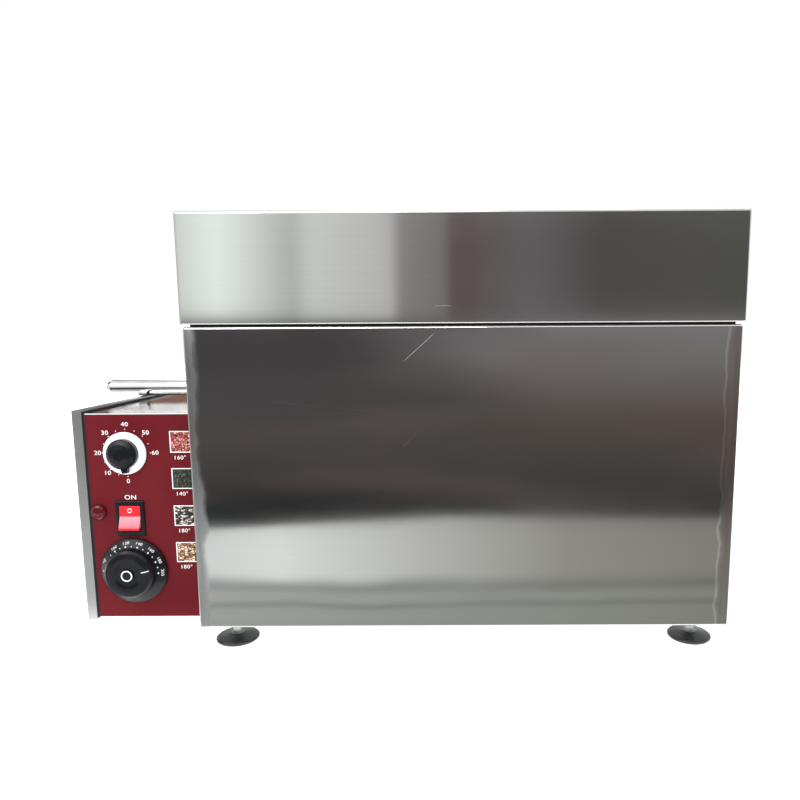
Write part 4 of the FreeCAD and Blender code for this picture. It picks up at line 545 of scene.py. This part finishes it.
seed_shades = [
    seed_shade("swatch_red_seeds", 520.0, 1.0, (0.05, 0.004, 0.004),
               [(0.2, (0.45, 0.03, 0.03)), (0.8, (0.85, 0.35, 0.30))], 0.16),
    seed_shade("swatch_dark_seeds", 700.0, 1.0, (0.004, 0.006, 0.004),
               [(0.3, (0.012, 0.018, 0.012)), (0.9, (0.10, 0.12, 0.08))], 0.10),
    seed_shade("swatch_striped_seeds", 420.0, 2.2, (0.004, 0.003, 0.003),
               [(0.5, (0.03, 0.02, 0.02)), (0.72, (0.75, 0.68, 0.60))], 0.10),
    seed_shade("swatch_pale_seeds", 330.0, 1.5, (0.02, 0.005, 0.002),
               [(0.2, (0.30, 0.10, 0.05)), (0.6, (0.85, 0.62, 0.42))], 0.14),
]
frames = []
for number, (top, bottom) in enumerate(SWATCH_HEIGHTS):
    width, height = SWATCH_RIGHT - SWATCH_LEFT, top - bottom
    inner_width, inner_height = width - 2 * SWATCH_FRAME, height - 2 * SWATCH_FRAME
    at = on_panel((SWATCH_LEFT + SWATCH_RIGHT) / 2, (top + bottom) / 2)
    frames.append((plate_mesh(width, height, PRINT_THICKNESS, inner_width, inner_height), at))
    label = text_mesh(SWATCH_LABELS[number], LABEL_HEIGHT)
    frames.append((label, on_panel(SWATCH_LEFT + LABEL_SHIFT, bottom - LABEL_DROP)))
    picture = joined([(plate_mesh(inner_width, inner_height, PRINT_THICKNESS * 0.8), at)])
    mesh_piece(f"swatch_{number + 1}", picture, "casing", seed_shades[number])
white_print("swatch_frames", frames, "casing")

# Thermostat scale, on the dial's sloping skirt: radii, how far out the skirt is there, degrees
SKIRT_RIM, SKIRT_RIM_OUT = 28.8, 3.4
SKIRT_ROOT, SKIRT_ROOT_OUT = 22.6, 7.8
FIRST_TICK = 137.9
TICK_STEP = 12.72
TICK_COUNT = 12
TICK_CIRCLE = 23.7
TICK_SMALL, TICK_LARGE = 0.5, 0.72
DEGREE_CIRCLE = 26.5
DEGREE_HEIGHT = 2.5
UNIT_ANGLE, UNIT_CIRCLE, UNIT_HEIGHT = 158, 26.2, 2.6
OFF_ANGLE, OFF_CIRCLE = 178, 26.0
SKIRT_GAP = 0.03


def skirt_out(radius):
    share = (SKIRT_RIM - radius) / (SKIRT_RIM - SKIRT_ROOT)
    return SKIRT_RIM_OUT + share * (SKIRT_ROOT_OUT - SKIRT_RIM_OUT)


def on_skirt(degrees, radius):
    """The matrix that lays a print on the skirt with its foot towards the axis."""
    x, z = round_the(DIAL, radius, degrees)
    slope = math.atan((SKIRT_ROOT_OUT - SKIRT_RIM_OUT) / (SKIRT_RIM - SKIRT_ROOT))
    turn = Matrix.Rotation(math.radians(degrees - 90), 4, "Z")
    spot = upright(x, PANEL_FACE - skirt_out(radius) - SKIRT_GAP, z)
    return spot @ turn @ Matrix.Rotation(-slope, 4, "X")


dial_print = []
for step in range(TICK_COUNT):
    angle = FIRST_TICK - TICK_STEP * step
    numbered = step % 2 == 1
    tick = disc_mesh(TICK_LARGE if numbered else TICK_SMALL, count=16)
    dial_print.append((tick, on_skirt(angle, TICK_CIRCLE)))
    if numbered:
        number = text_mesh(str(100 + 10 * (step - 1)), DEGREE_HEIGHT)
        dial_print.append((number, on_skirt(angle, DEGREE_CIRCLE)))
dial_print.append((text_mesh("\u00b0C", UNIT_HEIGHT), on_skirt(UNIT_ANGLE, UNIT_CIRCLE)))
dial_print.append((disc_mesh(TICK_SMALL, count=16), on_skirt(OFF_ANGLE, OFF_CIRCLE)))
white_print("dial_scale", dial_print, "thermostat")

# The ring on the dial's cap and the line on its hub: how far out they lie, radii and lengths
CAP_FACE = 16.85
CAP_RING, CAP_RING_INSIDE = 4.9, 3.9
HUB_FACE = 16.05
HUB_EDGE = 15.5
HUB_SLOPE = math.atan(1 / 4)
LINE_WIDTH = 0.7
LINE_ANGLE = 12
LINE_INNER, LINE_INNER_LENGTH = 14.1, 2.8
LINE_OUTER, LINE_OUTER_LENGTH = 17.4, 3.9


def on_dial(out):
    """The matrix that lays a print on the dial's axis, so far out from the panel."""
    return upright(DIAL[0], PANEL_FACE - out, DIAL[1])


white_print("dial_ring", [(disc_mesh(CAP_RING, CAP_RING_INSIDE, 48), on_dial(CAP_FACE))], "thermostat")


def on_hub(radius, length, slope):
    """A short line on the hub's face, along the radius, sloping down outwards."""
    out = HUB_FACE - max(0.0, radius - HUB_EDGE) * math.tan(slope)
    turn = Matrix.Rotation(math.radians(LINE_ANGLE), 4, "Z")
    spot = on_dial(out) @ turn @ Matrix.Translation((radius * MM, 0, 0))
    return plate_mesh(length, LINE_WIDTH), spot @ Matrix.Rotation(slope, 4, "Y")


inner_line = on_hub(LINE_INNER, LINE_INNER_LENGTH, 0.0)
outer_line = on_hub(LINE_OUTER, LINE_OUTER_LENGTH, HUB_SLOPE)
white_print("dial_line", [inner_line, outer_line], "thermostat")

# The ring on the rocker's upper face, which leans 3 degrees
RING_ABOVE_SWITCH = 7.3
RING_OUT = 1.74
RING_LEAN = 3
RING_RADIUS, RING_INSIDE = 2.0, 1.45
ring_at = upright(SWITCH[0], PANEL_FACE - RING_OUT, SWITCH[1] + RING_ABOVE_SWITCH, RING_LEAN)
white_print("rocker_ring", [(disc_mesh(RING_RADIUS, RING_INSIDE, 32), ring_at)], "rocker")

# Camera: in pixels of the picture, millimetres of the casing's frame and degrees
PHOTO_SIDE = 800
SENSOR_WIDTH = 36.0
FOCAL_PIXELS = 681.27
MIDDLE_PIXEL = (451.54, 424.58)
CAMERA_PLACE = (-8.02, -562.91, 257.01)
PITCH = math.radians(7.962)
YAW = math.radians(-0.152)
ROLL = math.radians(0.312)


def add_camera():
    data = bpy.data.cameras.new("camera")
    data.sensor_width = SENSOR_WIDTH
    data.lens = FOCAL_PIXELS / PHOTO_SIDE * SENSOR_WIDTH
    data.shift_x = (PHOTO_SIDE / 2 - MIDDLE_PIXEL[0]) / PHOTO_SIDE
    data.shift_y = (MIDDLE_PIXEL[1] - PHOTO_SIDE / 2) / PHOTO_SIDE
    data.clip_start = 0.01
    camera = bpy.data.objects.new("camera", data)
    bpy.context.scene.collection.objects.link(camera)
    ahead = math.cos(PITCH)
    forward = Vector((math.sin(YAW) * ahead, math.cos(YAW) * ahead, -math.sin(PITCH)))
    level = Vector((math.cos(YAW), -math.sin(YAW), 0.0))
    down = forward.cross(level)
    right = math.cos(ROLL) * level + math.sin(ROLL) * down
    below = -math.sin(ROLL) * level + math.cos(ROLL) * down
    axes = Matrix((right, -below, -forward)).transposed().to_4x4()
    camera.matrix_world = Matrix.Translation(place(*CAMERA_PLACE)) @ axes
    bpy.context.scene.camera = camera


add_camera()

# Stage, in metres
FACE_Y = CASING_Y
EYE = place(*CAMERA_PLACE)

# The dark room's edge on the floor, as places across and distances in front of the casing
ROOM_EDGE = ((-3.0, 0.33), (-0.35, 0.354), (-0.06, 0.40), (0.03, 0.42), (0.37, 0.404), (3.0, 0.39))
ROOM_HEIGHT = 0.5

# The near floor's distance in front of the casing, and its height
NEAR_FLOOR_AWAY = 0.02
NEAR_FLOOR_LEVEL = 0.0005

# The warm card behind: its line on the floor and its height; then the dark floor before it
BACK_LINE = ((-2.2, 0.6), (-1.4, 1.3), (-0.35, 1.5))
BACK_HEIGHT = 1.8
BACK_FLOOR_ACROSS = (-3.0, -0.26)
BACK_FLOOR_AWAY = (0.30, 3.5)
BACK_FLOOR_LEVEL = 0.001

FLOOR_REACH = 5.0
FLOOR_LEVEL = -0.0002


def stage_sheet(name, rows, shade):
    """A stage piece through rows of points."""
    count = len(rows[0])
    faces = []
    for row in range(len(rows) - 1):
        for step in range(count - 1):
            first = row * count + step
            faces.append((first, first + 1, first + 1 + count, first + count))
    mesh = bpy.data.meshes.new(name)
    mesh.from_pydata([point for row in rows for point in row], [], faces)
    piece = bpy.data.objects.new(name, mesh)
    bpy.context.scene.collection.objects.link(piece)
    dress(piece, shade)
    return piece


def mirrored_card(name, rows, shade):
    """A stage sheet that only polished surfaces show."""
    piece = stage_sheet(name, rows, shade)
    piece.visible_camera = False
    piece.visible_diffuse = False
    piece.visible_shadow = False
    piece.visible_transmission = False
    piece.visible_volume_scatter = False


def add_floor():
    shade = Shade("floor_paper", (0.90, 0.90, 0.90), 0.9)
    shade.set("Specular IOR Level", 0.0)
    shade.set("Emission Color", (1.0, 1.0, 1.0, 1.0))
    shade.set("Emission Strength", 0.85)
    sides = (-FLOOR_REACH, FLOOR_REACH)
    stage_sheet("floor", [[(x, y, FLOOR_LEVEL) for x in sides] for y in sides], shade)


def glow(name):
    """A shade that only gives light, for what the steel mirrors."""
    shade = Shade(name, (0.0, 0.0, 0.0), 1.0)
    shade.set("Specular IOR Level", 0.0)
    shade.set("Emission Strength", 1.0)
    return shade


def mirrored(shade):
    """How far across and down the front's mirror image of a point lies, per unit of its distance."""
    depth = shade.math("SUBTRACT", 2 * FACE_Y - EYE.y, shade.axis("Y"))
    across = shade.math("DIVIDE", shade.math("SUBTRACT", shade.axis("X"), EYE.x), depth)
    down = shade.math("DIVIDE", shade.math("SUBTRACT", EYE.z, shade.axis("Z")), depth)
    return across, down


def add_room():
    """The room in front of the roaster, as its steel mirrors it: pale bands above, dark below."""
    room = glow("room_card")
    across, down = mirrored(room)
    column = room.spread(across, 0.0, 1.0, -0.42, 0.46)
    bands = room.ramp(column, [
        (0.00, (0.90, 0.93, 0.90)), (0.09, (1.35, 1.45, 1.40)), (0.16, (1.00, 1.04, 1.01)),
        (0.215, (0.68, 0.72, 0.71)), (0.245, (0.95, 0.98, 0.97)), (0.375, (0.78, 0.77, 0.78)),
        (0.392, (0.36, 0.34, 0.35)), (0.462, (0.30, 0.28, 0.29)), (0.475, (0.16, 0.12, 0.115)),
        (0.60, (0.19, 0.18, 0.19)), (0.72, (0.11, 0.105, 0.10)), (1.00, (0.12, 0.12, 0.11))])
    low_left = room.ramp(room.spread(down, 0.0, 1.0, 0.0, 0.30), [
        (0.0, (0.075, 0.070, 0.078)), (0.45, (0.10, 0.095, 0.095)), (0.75, (0.070, 0.068, 0.066)),
        (0.88, (0.022, 0.025, 0.027)), (1.0, (0.030, 0.034, 0.036))])
    low_right = room.ramp(room.spread(down, 0.0, 1.0, 0.0, 0.30), [
        (0.0, (0.30, 0.29, 0.31)), (0.14, (0.26, 0.25, 0.25)), (0.45, (0.13, 0.105, 0.092)),
        (0.75, (0.080, 0.076, 0.074)), (1.0, (0.065, 0.063, 0.062))])
    sway = room.noise((2.0, 2.0, 14.0), detail=3.0)
    shifted = room.math("ADD", across, room.spread(sway, -0.12, 0.12, 0.3, 0.7))
    low = room.blend(room.spread(shifted, 0.0, 1.0, -0.12, 0.14), low_left, low_right)
    clouds = room.noise((3.0, 3.0, 16.0), detail=3.0, offset=(5, 0, 0))
    low = room.blend(room.spread(clouds, 0.0, 0.45, 0.45, 0.75), low, (0.22, 0.15, 0.15))
    above = room.spread(down, 1.0, 0.0, -0.040, -0.032)
    room.drive("Emission Color", room.blend(above, low, bands))
    rows = [[(x, FACE_Y - away, height) for x, away in ROOM_EDGE] for height in (0.0, ROOM_HEIGHT)]
    mirrored_card("room_card", rows, room)


def add_near_floor():
    """The pale floor close to the roaster, in stripes, as its steel mirrors it."""
    near = glow("near_floor_card")
    across, down = mirrored(near)
    high_part = near.ramp(near.spread(across, 0.0, 1.0, -0.40, 0.42), [
        (0.0, (1.15, 1.20, 1.18)), (0.16, (1.30, 1.33, 1.30)), (0.45, (0.82, 0.83, 0.80)),
        (0.70, (0.50, 0.49, 0.46)), (1.0, (0.40, 0.38, 0.36))])
    low_part = near.ramp(near.spread(across, 0.0, 1.0, -0.40, 0.42), [
        (0.0, (0.66, 0.68, 0.66)), (0.5, (0.52, 0.54, 0.51)), (1.0, (0.40, 0.41, 0.37))])
    wobble = near.noise((5.0, 5.0, 5.0), detail=2.0)
    wavy = near.math("ADD", down, near.spread(wobble, -0.006, 0.006, 0.3, 0.7))
    color = near.blend(near.spread(wavy, 0.0, 1.0, 0.375, 0.392), high_part, low_part)
    stripes = near.ramp(near.spread(wavy, 0.0, 1.0, 0.37, 0.45), [
        (0.0, (0.92, 0.92, 0.92)), (0.22, (0.55, 0.56, 0.55)), (0.38, (0.98, 0.98, 0.98)),
        (0.52, (0.95, 0.95, 0.95)), (0.60, (0.50, 0.52, 0.50)), (0.68, (0.9, 0.9, 0.9)),
        (1.0, (0.85, 0.87, 0.85))])
    near.drive("Emission Color", near.blend(1.0, color, stripes, "MULTIPLY"))
    rows = [[(x, FACE_Y - away, NEAR_FLOOR_LEVEL) for x, away in ROOM_EDGE],
            [(x, FACE_Y - NEAR_FLOOR_AWAY, NEAR_FLOOR_LEVEL) for x, away in ROOM_EDGE]]
    mirrored_card("near_floor_card", rows, near)


def add_back_cards():
    """A warm card and a dark floor behind and to the left, for the control box's top and the rod."""
    card = glow("back_card")
    height = card.spread(card.axis("Z"), 0.0, 1.0, 0.0, BACK_HEIGHT)
    card.drive("Emission Color", card.ramp(height, [
        (0.0, (0.30, 0.14, 0.10)), (0.26, (0.27, 0.13, 0.095)), (0.33, (0.05, 0.045, 0.045)),
        (1.0, (0.03, 0.03, 0.03))]))
    rows = [[(x, y, z) for x, y in BACK_LINE] for z in (0.0, BACK_HEIGHT)]
    mirrored_card("back_card", rows, card)

    dark = glow("back_floor_card")
    dark.set("Emission Color", (0.05, 0.045, 0.045, 1.0))
    rows = [[(x, y, BACK_FLOOR_LEVEL) for x in BACK_FLOOR_ACROSS] for y in BACK_FLOOR_AWAY]
    mirrored_card("back_floor_card", rows, dark)


def add_light(name, size, power, location, target):
    data = bpy.data.lights.new(name, "AREA")
    data.shape = "RECTANGLE"
    data.size, data.size_y = size
    data.energy = power
    light = bpy.data.objects.new(name, data)
    bpy.context.scene.collection.objects.link(light)
    light.location = location
    aim = Vector(target) - Vector(location)
    light.rotation_euler = aim.to_track_quat("-Z", "Y").to_euler()


def add_world():
    world = bpy.data.worlds.new("studio")
    bpy.context.scene.world = world
    world.use_nodes = True
    background = world.node_tree.nodes["Background"]
    background.inputs["Color"].default_value = (1.0, 1.01, 1.02, 1.0)
    background.inputs["Strength"].default_value = 1.0


add_floor()
add_room()
add_near_floor()
add_back_cards()
add_world()
add_light("key", (1.6, 1.0), 16, (-1.2, -1.2, 1.8), (0, 0, 0.2))
add_light("top", (2.0, 2.0), 14, (0.2, 0.2, 2.2), (0, 0, 0.2))
add_light("front", (1.4, 0.5), 20, (-0.5, -2.6, 2.0), (-0.25, -0.15, 0.1))
bpy.context.scene.view_settings.view_transform = "Standard"
